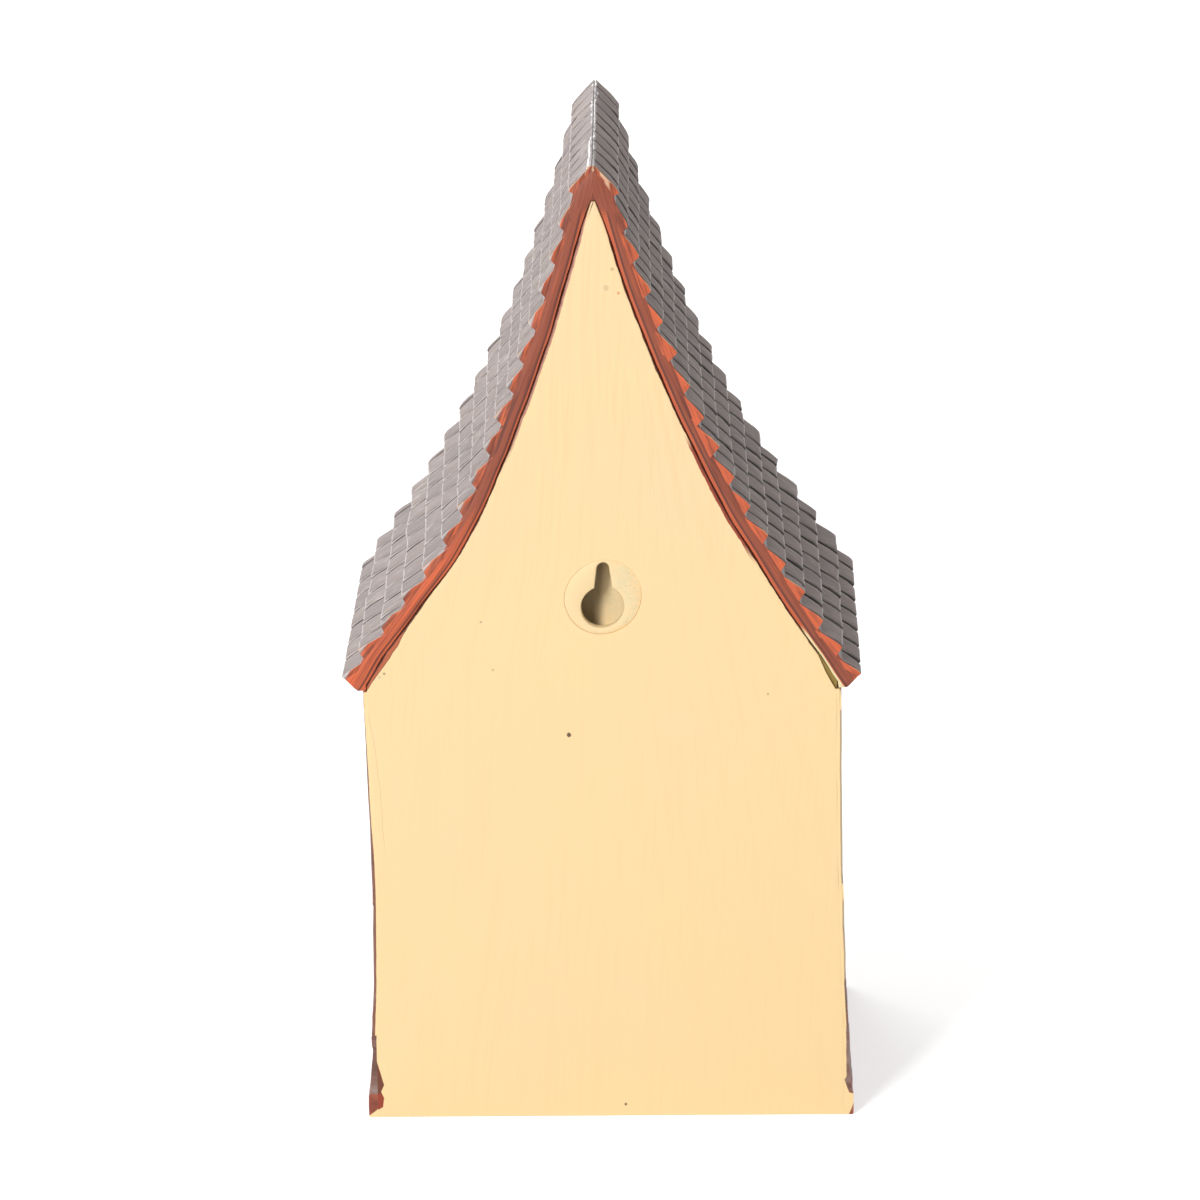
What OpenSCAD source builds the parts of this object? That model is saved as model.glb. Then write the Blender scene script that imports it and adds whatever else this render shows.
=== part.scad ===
// Half-timbered birdhouse, hung or stood: a cast wall shell under a bell-cast tiled roof.
// The back is +Y and the front, with the entrance hole, is -Y. The origin is on the ground,
// under the middle of the roof. All sizes are in millimetres.

/* [Walls] */
// Width over the plain side walls
wall_w = 144; // [126:1:164]
// Thickness of the cast walls
wall_t = 6; // [4:0.5:8]
// Height of the outer wall corners, where the eaves start
wall_h = 139.5; // [128:0.5:150]
// How far the front wall stands back under the front end of the roof
front_overhang = 9; // [5:0.5:14]

/* [Roof] */
// Height of the ridge above the ground
ridge_h = 300; // [270:1:320]
// Length of the roof from front to back
roof_d = 122; // [106:1:140]
// Width of the blunt tip at the top of a gable
gable_tip_w = 3.6; // [2:0.2:8]
// Depth of the bargeboards at the ridge, above the gable tip
ridge_t = 11; // [8:0.5:16]
// Sag of the hollow slope under a straight line from gable tip to wall
bell = 8.5; // [5:0.5:12]
// Thickness of the bargeboards, from the soffit to the roots of the tiles
deck_t = 4.5; // [3:0.5:7]
// Glue seam between the roof and the walls
seam_gap = 0.3; // [0.2:0.1:0.6]
// Width of the open groove that the seam leaves round the back panel
groove_w = 0.8; // [0.4:0.1:1.5]
// Depth of that groove
groove_d = 1.5; // [0.5:0.1:3]
// Width, at its foot, of the chip beside the groove over one eave
chip_w = 2.4; // [1.6:0.1:3.2]
// Depth of that chip
chip_d = 1.2; // [0.6:0.1:2]
// How far the chip runs up from the wall corner
chip_h = 18; // [12:1:24]
// How far the tile tips at the eaves reach past the walls
eave_out = 7; // [6:0.5:12]
// How far the foot of the roof laps down over the walls
foot_lap = 1.7; // [0.5:0.1:4]
// How far the foot of the roof is cut back under the lowest tiles
foot_cut = 3.6; // [2:0.2:5]

/* [Tiles] */
// Rows of tiles on each slope
courses = 17; // [13:1:20]
// Height of the lower edge of a tile above the deck
tile_rise = 2.4; // [1.6:0.1:3.2]
// Height of that edge on the topmost tiles, which are dressed thin for the ridge
top_rise = 1.4; // [0.8:0.1:1.6]
// Length of the worn butt under the lower edge of a tile
tile_butt = 2; // [1:0.1:3]
// Width of one tile along the roof
tile_w = 13; // [9:0.5:18]
// Width of the open joint between two tiles
joint_w = 0.8; // [0.5:0.1:1.5]
// Depth of the joint at the root of a tile
joint_d = 0.7; // [0.4:0.1:1.2]
// Width of the flat worn along the ridge
ridge_flat = 1.2; // [0.4:0.2:3]

/* [Timber frame] */
// Width of the corner posts
post_w = 9; // [6:0.5:12]
// Width of the studs, rails and braces
timber_w = 7; // [5:0.5:9]
// How far the timbers stand out of the walls
timber_out = 1.5; // [1:0.1:2.5]
// Distance between the centres of the two studs beside the entrance
stud_gap = 56; // [50:1:66]
// Height of the middle of the rail under the entrance
rail_h = 72; // [64:1:78]
// Height of the middle of the collar beam in the front gable
collar_h = 196; // [180:1:205]

/* [Plinth] */
// Height of the base band
band_h = 7.5; // [5:0.5:10]
// How far the base band stands out of the walls
band_out = 2.8; // [2:0.1:4]
// Height of the flared skirt, with the band
skirt_h = 22; // [18:0.5:26]
// Height of the roll moulding over the skirt
roll_h = 8; // [5:0.5:10]
// How far the roll moulding stands out of the walls
roll_out = 1.6; // [1:0.1:2]

/* [Entrance] */
// Diameter of the entrance hole
entrance_d = 32; // [26:1:38]
// Height of the middle of the entrance hole
entrance_h = 102; // [96:1:108]

/* [Floor] */
// Thickness of the floor plate
floor_t = 4; // [3:0.5:6]
// Height of the underside of the floor plate above the ground
floor_rise = 3; // [2.5:0.5:5]
// Clearance between the floor plate and the walls
floor_gap = 0.5; // [0.3:0.1:1]
// Diameter of the drain holes in the floor plate
drain_d = 6; // [4:0.5:9]
// Width of the square screw blocks in the corners
block_w = 13; // [11:0.5:16]
// Height of the screw blocks
block_h = 20; // [16:1:26]
// Diameter of the floor screws
screw_d = 3.5; // [3:0.5:4.5]
// Clearance of the screws in their pilot holes
pilot_gap = 0.1; // [0.1:0.05:0.3]
// Clearance of the screws in the floor plate
pass_gap = 0.6; // [0.4:0.1:1]
// Length of the floor screws under the head
screw_len = 14; // [10:1:16]
// Diameter of the screw heads
head_d = 7; // [6:0.5:8]
// Height of the screw heads
head_t = 2; // [1.5:0.1:2.4]
// Width of the cross recess in the screw heads
recess_w = 1; // [0.6:0.1:1.2]

/* [Keyhole hanger] */
// Height of the middle of the round hanger insert
hanger_h = 167; // [158:1:176]
// Diameter of the insert's face in the back wall
hanger_d = 23.4; // [22:0.2:27]
// Width of the shoulder that holds the insert from inside
shoulder_w = 2; // [1.5:0.5:4]
// Thickness of the back wall's lip over that shoulder
shoulder_t = 1.5; // [1:0.1:2]
// Depth of the insert from the back face
hanger_depth = 12; // [10:0.5:16]
// Thickness of the insert's face and floor
hanger_t = 2.8; // [2.4:0.1:3.5]
// Wall of the insert's cup
cup_wall = 1.5; // [1:0.1:2.5]
// Clearance around the insert
hanger_gap = 0.15; // [0.1:0.05:0.3]
// Diameter of the round part of the keyhole
key_d = 13.2; // [10:0.2:14]
// Width of the keyhole's slot where it leaves the round part
slot_w = 5.4; // [4.6:0.2:6]
// Width of the slot at its end
slot_end_w = 3.8; // [3.2:0.2:4.6]
// Distance from the middle of the round part to the middle of the slot's end
slot_len = 12; // [10:0.5:13]
// How far the middle of the round part lies under the middle of the insert
key_drop = 3.2; // [2:0.2:4]

/* [Hidden] */
$fn = 64;
cut = 1;

// Planes of the walls
back_y = roof_d / 2;
front_y = -roof_d / 2 + front_overhang;
side_x = wall_w / 2;
in_x = side_x - wall_t;
in_front = front_y + wall_t;
in_back = back_y - wall_t;

// The gable edge is one arc, hollow towards the sky, from the wall corner to the gable tip.
tip_x = gable_tip_w / 2;
tip_z = ridge_h - ridge_t;
chord = norm([side_x - tip_x, wall_h - tip_z]);
out_dir = [tip_z - wall_h, side_x - tip_x] / chord;
gable_r = (chord * chord / 4 + bell * bell) / (2 * bell);
arc_x = (side_x + tip_x) / 2 + out_dir[0] * (gable_r - bell);
arc_z = (wall_h + tip_z) / 2 + out_dir[1] * (gable_r - bell);

// Radii of the curves that share its centre
soffit_r = gable_r - seam_gap;
deck_r = soffit_r - deck_t;
tips_r = deck_r - tile_rise;

// Angles on such a curve at a given height or half-width, and the point at an angle
function angle_at_z(r, z) = 180 + asin((arc_z - z) / r);
function angle_at_x(r, x) = 180 + acos((arc_x - x) / r);
function arc_point(r, a) = [arc_x + r * cos(a), arc_z + r * sin(a)];
function arc_points(r, a1, a2, steps) = [for (i = [0:steps]) arc_point(r, a1 + (a2 - a1) * i / steps)];

// A place on the roof: s is the way down the deck from the ridge, h the height over the deck
deck_top = angle_at_z(deck_r, ridge_h);
function slope_point(s, h) = arc_point(deck_r - h, deck_top + s / deck_r * 180 / PI);
tips_end = angle_at_x(tips_r, side_x + eave_out);
course = ((tips_end - deck_top) * PI / 180 * deck_r + tile_butt) / courses;

// Tiles grow to their full thickness over the first four courses
function rise(i) = min(tile_rise, top_rise + (tile_rise - top_rise) * i / 4);

// Outlines are mirrored at the middle plane
function mirrored(points) =
    concat(points, [for (i = [len(points) - 1:-1:0]) [-points[i][0], points[i][1]]]);

// Heights of the frame, the screw blocks and the keyhole
foot_z = wall_h - foot_lap;
plate_z = foot_z - seam_gap;
plinth_h = skirt_h + roll_h;
post_z = skirt_h + roll_h * 0.6;
floor_top = floor_rise + floor_t;
screw_x = in_x - block_w / 2;
screw_front = in_front + block_w / 2;
screw_back = in_back - block_w / 2;
key_z = hanger_h - key_drop;

// Plain outline of the gable walls
module gable_outline() {
    polygon(mirrored(concat(
        [[side_x, 0]],
        arc_points(gable_r, angle_at_x(gable_r, side_x), angle_at_z(gable_r, tip_z), 16))));
}

// Extrudes an outline in X and Z from one Y to another
module along_y(y1, y2) {
    translate([0, y2, 0]) rotate([90, 0, 0]) linear_extrude(y2 - y1) children();
}

// Extrudes an outline in Y and Z across the whole width, from -x to x
module along_x(x) {
    translate([-x, 0, 0]) rotate([90, 0, 90]) linear_extrude(2 * x) children();
}

// Skirt, roll and base band: how far they stand out at each height
plinth_steps = [
    [0, band_out - 0.4], [0.8, band_out], [band_h - 0.6, band_out], [band_h, band_out - 0.4],
    [skirt_h, roll_out - 0.5], [skirt_h + roll_h * 0.3, roll_out], [skirt_h + roll_h * 0.6, roll_out],
    [plinth_h, 0]];

module plinth() {
    intersection() {
        along_y(front_y - band_out - cut, back_y)
            polygon(mirrored([for (p = plinth_steps) [side_x + p[1], p[0]]]));
        along_x(side_x + band_out + cut)
            polygon(concat(
                [[back_y, 0]],
                [for (p = plinth_steps) [front_y - p[1], p[0]]],
                [[back_y, plinth_h]]));
    }
}

// One straight timber between two points
module timber(a, b, w) {
    side = [a[1] - b[1], b[0] - a[0]] / norm(b - a) * w / 2;
    polygon([a + side, b + side, b - side, a - side]);
}

// Crossed braces in a panel
module cross(x1, x2, z1, z2) {
    timber([x1, z1], [x2, z2], timber_w * 0.8);
    timber([x1, z2], [x2, z1], timber_w * 0.8);
}

// Frame on the front: posts, sill, rail, tie beam, studs, crosses, and the gable with its collar
module front_frame() {
    stud_x = stud_gap / 2;
    tie_z = wall_h - timber_w / 2;
    sill_z = plinth_h + timber_w / 2;
    intersection() {
        gable_outline();
        union() {
            for (side = [-1, 1]) {
                timber([side * (side_x - post_w / 2), post_z], [side * (side_x - post_w / 2), wall_h], post_w);
                timber([side * stud_x, plinth_h], [side * stud_x, wall_h], timber_w);
                cross(side * stud_x, side * (side_x - post_w), sill_z, rail_h);
                timber([side * (side_x - post_w), rail_h], [side * stud_x, tie_z], timber_w);
                timber([side * (side_x - post_w), tie_z], [side * timber_w / 2, collar_h], timber_w * 0.8);
            }
            timber([-side_x, sill_z], [side_x, sill_z], timber_w);
            timber([-side_x, rail_h], [side_x, rail_h], timber_w);
            timber([-side_x, tie_z], [side_x, tie_z], timber_w);
            timber([-side_x, collar_h], [side_x, collar_h], timber_w);
            timber([0, wall_h], [0, tip_z], timber_w);
            edge_band(timber_w);
        }
    }
}

// Band of a given width along both edges of a gable
module edge_band(w) {
    low = angle_at_x(gable_r, side_x + cut);
    high = angle_at_z(gable_r, tip_z);
    for (side = [0, 1])
        mirror([side, 0])
            polygon(concat(
                arc_points(gable_r - cut, low, high, 16),
                arc_points(gable_r + w, high, low, 16)));
}

// Chip along the foot of the panel's edge on the -X side, as cast
module edge_chip() {
    low = angle_at_x(gable_r, side_x + cut);
    high = angle_at_z(gable_r, wall_h + chip_h);
    mirror([1, 0])
        polygon(concat(
            arc_points(gable_r - cut, low, high, 6),
            [for (i = [0:6])
                arc_point(gable_r + groove_w + (chip_w - groove_w) * i / 6, high + (low - high) * i / 6)]));
}

// Frame on a side wall, in Y and Z
module side_frame() {
    mid_y = (front_y + back_y) / 2;
    sill_z = plinth_h + timber_w / 2;
    top_z = plate_z - timber_w / 2;
    for (y = [front_y - timber_out + post_w / 2, back_y - post_w / 2])
        timber([y, post_z], [y, plate_z], post_w);
    timber([mid_y, plinth_h], [mid_y, plate_z], timber_w);
    for (z = [sill_z, rail_h, top_z])
        timber([front_y, z], [back_y, z], timber_w);
    cross(front_y + post_w, mid_y, sill_z, rail_h);
    cross(mid_y, back_y - post_w, sill_z, rail_h);
    timber([front_y + post_w, rail_h], [mid_y, top_z], timber_w);
    timber([back_y - post_w, rail_h], [mid_y, top_z], timber_w);
}

// Places of the four floor screws
module at_screws() {
    for (x = [-screw_x, screw_x], y = [screw_front, screw_back])
        translate([x, y, 0]) children();
}

// The painted timber frame, in relief on the front and both sides
module frame_relief() {
    along_y(front_y - timber_out, front_y + cut) front_frame();
    for (side = [-1, 1])
        translate([side * side_x - (side > 0 ? cut : timber_out), 0, 0])
            rotate([90, 0, 90]) linear_extrude(timber_out + cut) side_frame();
}

// Wall shell, open above and below, with its frame in relief
module body() {
    difference() {
        union() {
            difference() {
                union() {
                    color("#fee0a8") along_y(front_y, back_y) gable_outline();
                    color("#6b4638") plinth();
                    color("#7d4a38") frame_relief();
                }
                translate([-in_x, in_front, -cut])
                    cube([2 * in_x, in_back - in_front, ridge_h + 2 * cut]);
            }
            at_screws()
                translate([-block_w / 2, -block_w / 2, floor_top])
                    cube([block_w, block_w, block_h]);
        }
        // Pilot holes
        at_screws()
            translate([0, 0, floor_top - cut])
                cylinder(d = screw_d + pilot_gap, h = screw_len - floor_t + 2 * cut);
        // Entrance
        translate([0, in_front + cut, entrance_h]) rotate([90, 0, 0])
            cylinder(d = entrance_d, h = wall_t + timber_out + 2 * cut);
        // Open groove of the seam round the back panel
        along_y(back_y - groove_d, back_y + cut) edge_band(groove_w);
        along_y(back_y - chip_d, back_y + cut) edge_chip();
        // Stepped seat of the hanger insert
        translate([0, back_y + cut, hanger_h]) rotate([90, 0, 0])
            cylinder(d = hanger_d + 2 * hanger_gap, h = wall_t + 2 * cut);
        translate([0, back_y - shoulder_t, hanger_h]) rotate([90, 0, 0])
            cylinder(d = hanger_d + 2 * shoulder_w + 2 * hanger_gap, h = wall_t);
    }
}

// Outline of the roof from the ridge down the saw-edged tiles, round the foot and up the soffit
function tile_edge(i) = [
    slope_point((i + 1) * course - tile_butt, rise(i)),
    slope_point((i + 1) * course - tile_butt * 0.55, rise(i) * 0.72),
    slope_point((i + 1) * course, 0)];
tip_last = slope_point(courses * course - tile_butt, tile_rise);
foot_x = side_x + seam_gap;
roof_half = concat(
    [[0, ridge_h], [ridge_flat / 2, ridge_h]],
    [for (i = [0:courses - 2]) each tile_edge(i)],
    [tip_last, [tip_last[0] - foot_cut, foot_z], [foot_x, foot_z]],
    arc_points(soffit_r, angle_at_x(soffit_r, foot_x), angle_at_z(soffit_r, tip_z + seam_gap), 16),
    [[0, tip_z + seam_gap]]);

// Joints of one slope, staggered from course to course
module tile_joints(shift) {
    count = floor(roof_d / tile_w);
    for (i = [0:courses - 1], k = [0:count]) {
        y = -roof_d / 2 + tile_w * (k + shift + (i % 2) / 2);
        if (y > -roof_d / 2 + tile_w / 4 && y < roof_d / 2 - tile_w / 4)
            along_y(y - joint_w / 2, y + joint_w / 2)
                polygon([
                    slope_point(i * course + 0.3, i == 0 ? -deck_t * 0.7 : -joint_d),
                    slope_point((i + 1) * course - 0.4, rise(i) * 0.25),
                    slope_point((i + 1) * course - 0.4, tile_rise + 2 * cut),
                    slope_point(i * course + 0.3, tile_rise + 2 * cut)]);
    }
}

// Roof casting: two hollow slopes of thick tiles between bargeboards
module roof() {
    color("#8a7f7d")
    difference() {
        along_y(-roof_d / 2, roof_d / 2) polygon(mirrored(roof_half));
        tile_joints(0.3);
        mirror([1, 0, 0]) tile_joints(0.75);
    }
}

// Removable floor with drain holes
module floor_plate() {
    color("#6b5a4c")
    difference() {
        translate([-in_x + floor_gap, in_front + floor_gap, floor_rise])
            cube([2 * (in_x - floor_gap), in_back - in_front - 2 * floor_gap, floor_t]);
        at_screws()
            translate([0, 0, floor_rise - cut])
                cylinder(d = screw_d + pass_gap, h = floor_t + 2 * cut);
        for (x = [-1, 1], y = [-1, 1])
            translate([x * in_x / 3, (in_front + in_back) / 2 + y * (in_back - in_front) / 4, floor_rise - cut])
                cylinder(d = drain_d, h = floor_t + 2 * cut);
    }
}

// Four pan-head screws, heads down under the floor plate
module floor_screws() {
    color("#b9bcc0")
    at_screws()
        difference() {
            union() {
                translate([0, 0, floor_rise - head_t]) cylinder(d = head_d, h = head_t);
                translate([0, 0, floor_rise - cut / 2]) cylinder(d = screw_d, h = screw_len - screw_d + cut / 2);
                translate([0, 0, floor_rise + screw_len - screw_d])
                    cylinder(d1 = screw_d, d2 = 0.6, h = screw_d);
            }
            for (turn = [0, 90])
                rotate([0, 0, turn])
                    translate([-head_d * 0.3, -recess_w / 2, floor_rise - head_t - cut])
                        cube([head_d * 0.6, recess_w, head_t * 0.6 + cut]);
        }
}

// Keyhole outline, round below with the tapering slot above
module keyhole() {
    circle(d = key_d);
    polygon([
        [-slot_w / 2, key_d * 0.4], [slot_w / 2, key_d * 0.4],
        [slot_end_w / 2, slot_len], [-slot_end_w / 2, slot_len]]);
    translate([0, slot_len]) circle(d = slot_end_w);
}

// Round cup let into the back wall from inside, with the keyhole in its face
module hanger_insert() {
    cup_d = hanger_d + 2 * shoulder_w;
    color("#efe3b4")
    translate([0, back_y, hanger_h]) rotate([90, 0, 0])
    difference() {
        union() {
            cylinder(d = hanger_d, h = hanger_depth);
            translate([0, 0, shoulder_t]) cylinder(d = cup_d, h = hanger_depth - shoulder_t);
        }
        translate([0, 0, hanger_t])
            cylinder(d = cup_d - 2 * cup_wall, h = hanger_depth - 2 * hanger_t);
        translate([0, -key_drop, -cut]) linear_extrude(hanger_t + 2 * cut) keyhole();
    }
}

body();
roof();
floor_plate();
floor_screws();
hanger_insert();
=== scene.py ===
"""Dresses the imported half-timbered birdhouse: tiled roof, cream walls, carved timber frame and keyhole hanger.

The camera stands behind the house, on the side of the hanger. +Y is the back, and +X is the left as seen from there.
Shapes are made in millimetres, and each finished piece is scaled to the frame's metres.
"""

import logging
import math
import random
from collections.abc import Callable, Iterator, Sequence
from contextlib import contextmanager
from dataclasses import dataclass, field
from enum import Enum
from functools import cached_property

import bmesh
import bpy
from mathutils import Matrix, Vector, noise

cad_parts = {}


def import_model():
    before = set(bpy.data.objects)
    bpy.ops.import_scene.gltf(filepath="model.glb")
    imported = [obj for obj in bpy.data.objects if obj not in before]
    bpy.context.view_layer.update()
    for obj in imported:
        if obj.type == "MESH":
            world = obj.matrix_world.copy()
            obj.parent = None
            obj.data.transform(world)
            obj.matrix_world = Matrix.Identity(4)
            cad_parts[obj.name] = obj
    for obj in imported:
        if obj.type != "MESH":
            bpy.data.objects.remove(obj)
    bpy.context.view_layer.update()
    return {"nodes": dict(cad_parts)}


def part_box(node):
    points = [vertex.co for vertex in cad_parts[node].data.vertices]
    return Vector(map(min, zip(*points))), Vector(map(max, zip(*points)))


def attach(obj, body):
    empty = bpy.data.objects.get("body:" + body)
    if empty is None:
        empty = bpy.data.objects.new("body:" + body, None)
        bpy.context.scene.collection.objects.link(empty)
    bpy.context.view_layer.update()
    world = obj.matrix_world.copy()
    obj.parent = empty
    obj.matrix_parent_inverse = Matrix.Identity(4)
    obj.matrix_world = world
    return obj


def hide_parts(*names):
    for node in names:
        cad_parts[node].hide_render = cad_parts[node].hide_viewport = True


LOG = logging.getLogger("birdhouse")
MM = 0.001
BODY = "root"
SEED = 17
REST_PLACE = "rest_place"

Object = bpy.types.Object
Socket = bpy.types.NodeSocket
Tree = bpy.types.NodeTree
Point = tuple[float, float]

# Input and output numbers of the colour Mix node, whose socket names repeat
MIX_FACTOR = 0
MIX_A = 6
MIX_B = 7
MIX_RESULT = 2


class Side(Enum):
    """A side of the house, as seen from behind."""

    LEFT = 1
    RIGHT = -1


class TileWear(Enum):
    """How a tile was carved, with the cuts that the lower edge has."""

    WHOLE = "whole"
    ROUNDED = "rounded"
    SLANTED = "slanted"


def deselect_all() -> None:
    """Deselects every object, the frame's nodes among them."""
    bpy.ops.object.select_all(action="DESELECT")


def activate(obj: Object) -> None:
    """Makes an object the only one selected, and the active one.

    Args:
        obj: The object to work on.
    """
    deselect_all()
    obj.select_set(True)
    bpy.context.view_layer.objects.active = obj


def start(name: str, primitive: Callable, **size: object) -> Object:
    """Adds a primitive to work from.

    Args:
        name: Name of the new object and its mesh.
        primitive: The operator that adds it.
        **size: Settings of that operator.

    Returns:
        The new object.
    """
    deselect_all()
    primitive(**size)
    made = bpy.context.object
    made.name = name
    made.data.name = name
    return made


@contextmanager
def editing(obj: Object) -> Iterator[None]:
    """Opens a mesh in edit mode with nothing selected, and closes it again.

    Args:
        obj: The mesh object to open.
    """
    activate(obj)
    bpy.ops.object.mode_set(mode="EDIT")
    bpy.ops.mesh.select_all(action="DESELECT")
    yield
    bpy.ops.object.mode_set(mode="OBJECT")


def pick(kind: str, test: Callable[[object], bool]) -> int:
    """Selects parts of the open mesh by their place or normal, and nothing else.

    Args:
        kind: "verts", "edges" or "faces".
        test: Says of one vertex, edge or face whether it is wanted.

    Returns:
        How many were selected.
    """
    bpy.ops.mesh.select_mode(type=kind[:-1].upper())
    bpy.ops.mesh.select_all(action="DESELECT")
    data = bpy.context.edit_object.data
    mesh = bmesh.from_edit_mesh(data)
    mesh.normal_update()
    found = [part for part in getattr(mesh, kind) if test(part)]
    for part in found:
        part.select_set(True)
    bmesh.update_edit_mesh(data)
    return len(found)


def apply_modifier(obj: Object, kind: str, **settings: object) -> None:
    """Adds a modifier and applies it.

    Args:
        obj: The object to change.
        kind: Blender's name of the modifier type.
        **settings: The modifier's settings.
    """
    activate(obj)
    made = obj.modifiers.new(kind, kind)
    for name, value in settings.items():
        setattr(made, name, value)
    bpy.ops.object.modifier_apply(modifier=made.name)


def cut(obj: Object, cutter: Object) -> None:
    """Cuts one solid out of another and removes the cutter.

    Args:
        obj: The solid that stays.
        cutter: The solid to take away.
    """
    for part in (obj, cutter):
        with editing(part):
            bpy.ops.mesh.select_all(action="SELECT")
            bpy.ops.mesh.normals_make_consistent(inside=False)
    apply_modifier(obj, "BOOLEAN", operation="DIFFERENCE", solver="EXACT", object=cutter)
    bpy.data.objects.remove(cutter)


def lay(obj: Object, place: Callable[[Vector], Vector]) -> None:
    """Moves each vertex of a mesh to its place along a form.

    Args:
        obj: The mesh object.
        place: Gives the new place of a vertex from its old one.
    """
    for vertex in obj.data.vertices:
        vertex.co = place(vertex.co)


def copy_of(master: Object, name: str) -> Object:
    """Copies a modelled piece, with a mesh of its own.

    Args:
        master: The piece that was modelled once.
        name: Name of the copy.

    Returns:
        The copy.
    """
    made = master.copy()
    made.data = master.data.copy()
    made.name = name
    bpy.context.scene.collection.objects.link(made)
    return made


def join(parts: Sequence[Object], name: str) -> Object:
    """Joins objects into one.

    Args:
        parts: The objects, the first of which stays.
        name: Name of the joined object.

    Returns:
        The joined object.
    """
    activate(parts[0])
    for part in parts:
        part.select_set(True)
    bpy.ops.object.join()
    parts[0].name = name
    parts[0].data.name = name
    return parts[0]


def swept_bar(name: str, sides: int, rings: int, place: Callable[[int, float], Vector]) -> Object:
    """Makes a capped bar and lays its rings along a path.

    Args:
        name: Name of the bar.
        sides: Points round the cross-section.
        rings: Rings along the bar, with both ends.
        place: Gives a point from its number round the section and its share of the length.

    Returns:
        The bar.
    """
    bar = start(name, bpy.ops.mesh.primitive_cylinder_add, vertices=sides, radius=1, depth=1)
    if rings > 2:
        with editing(bar):
            pick("edges", lambda edge: abs(edge.verts[0].co.z - edge.verts[1].co.z) > 0.5)
            bpy.ops.mesh.subdivide(number_cuts=rings - 2)

    def on_path(co: Vector) -> Vector:
        turn = math.atan2(co.x, co.y) / math.tau * sides
        return place(round(turn) % sides, co.z + 0.5)

    lay(bar, on_path)
    return bar


def ripple(point: Vector, wavelength: float, depth: float, shift: float = 0.0) -> float:
    """Gives the smooth unevenness of a hand-worked surface.

    Args:
        point: The place, in millimetres.
        wavelength: Distance between neighbouring humps.
        depth: Greatest height of a hump.
        shift: Tells one pattern from another.

    Returns:
        A height from about -depth to depth.
    """
    return noise.noise(point / wavelength + Vector((shift, -shift, 0.5 * shift))) * depth


def note_points(piece: Object, name: str, values: Sequence[Sequence[float]]) -> None:
    """Keeps three numbers with each vertex, for a material to read.

    Args:
        piece: The mesh object.
        name: Name of the attribute.
        values: Three numbers for each vertex, in the mesh's order.
    """
    attribute = piece.data.attributes.new(name, "FLOAT_VECTOR", "POINT")
    attribute.data.foreach_set("vector", [number for value in values for number in value])


@dataclass(frozen=True)
class Lean:
    """How the casting leans and bows along X, by height, as it came out of a soft mould, in millimetres."""

    depth: float = 61.0
    reach: float = 40.0
    # Height, then the shift at the back left, back right, front left and front right
    levels: tuple[tuple[float, ...], ...] = (
        (25, 0.0, 0.1, 0.0, 0.1), (45, -0.9, 0.9, -0.9, 0.9), (70, -1.15, 1.5, -1.15, 1.5),
        (85, -1.1, 2.0, -1.1, 2.0), (105, -0.5, 2.1, -0.5, 2.1), (137, 0.3, 2.1, 0.3, 2.1),
        (150, 1.9, 1.0, 1.9, 0.5), (164, 0.6, 0.8, 2.2, 1.4), (180, -1.2, 0.6, 2.3, 2.4),
        (194, -1.1, 1.1, 2.3, 3.0), (210, -0.2, 1.0, 2.3, 3.1), (226, 0.9, 1.1, 2.4, 3.1),
        (245, 1.6, 1.2, 2.6, 3.1), (265, 2.2, 1.6, 2.9, 3.1), (300, 2.0, 1.9, 3.1, 3.1),
    )

    def moved(self, co: Vector) -> Vector:
        """Gives where a point of the straight model lies on the casting."""
        above = next((number for number, level in enumerate(self.levels) if level[0] > co.z), len(self.levels) - 1)
        low, high = self.levels[max(0, above - 1)], self.levels[above]
        share = min(1.0, max(0.0, (co.z - low[0]) / max(1.0, high[0] - low[0])))
        share = share * share * (3 - 2 * share)
        left, right, far_left, far_right = (one + (two - one) * share for one, two in zip(low[1:], high[1:]))
        fore = min(1.0, max(0.0, 0.5 - co.y / self.depth / 2))
        side = min(1.0, max(0.0, 0.5 + co.x / self.reach / 2))
        near = right + (left - right) * side
        far = far_right + (far_left - far_right) * side
        shift = (near + (far - near) * fore) * min(1.0, max(0.0, co.z / 25))
        return co + Vector((shift, 0, 0))


def settle(piece: Object, finish: "Finish", slot: str, *replaced: str, crease: float = 35.0) -> Object:
    """Closes a finished piece, leans it as it was cast, scales it to metres, dresses it and seats it on the frame.

    Args:
        piece: The piece, modelled in millimetres.
        finish: Its surface finish.
        slot: Name of a material slot; not used.
        *replaced: CAD nodes that it stands for.
        crease: Angle in degrees above which an edge stays sharp.

    Returns:
        The piece.
    """
    with editing(piece):
        bpy.ops.mesh.select_all(action="SELECT")
        bpy.ops.mesh.remove_doubles(threshold=0.002)
        bpy.ops.mesh.normals_make_consistent(inside=False)
    note_points(piece, REST_PLACE, [vertex.co for vertex in piece.data.vertices])
    lay(piece, Lean().moved)
    piece.scale = (MM, MM, MM)
    bpy.ops.object.transform_apply(location=True, rotation=True, scale=True)
    bpy.ops.object.shade_smooth_by_angle(angle=math.radians(crease))
    piece.data.materials.clear()
    piece.data.materials.append(finish.material())
    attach(piece, BODY)
    if replaced:
        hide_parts(*replaced)
    LOG.info("%s: %d faces", piece.name, len(piece.data.polygons))
    return piece


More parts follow.
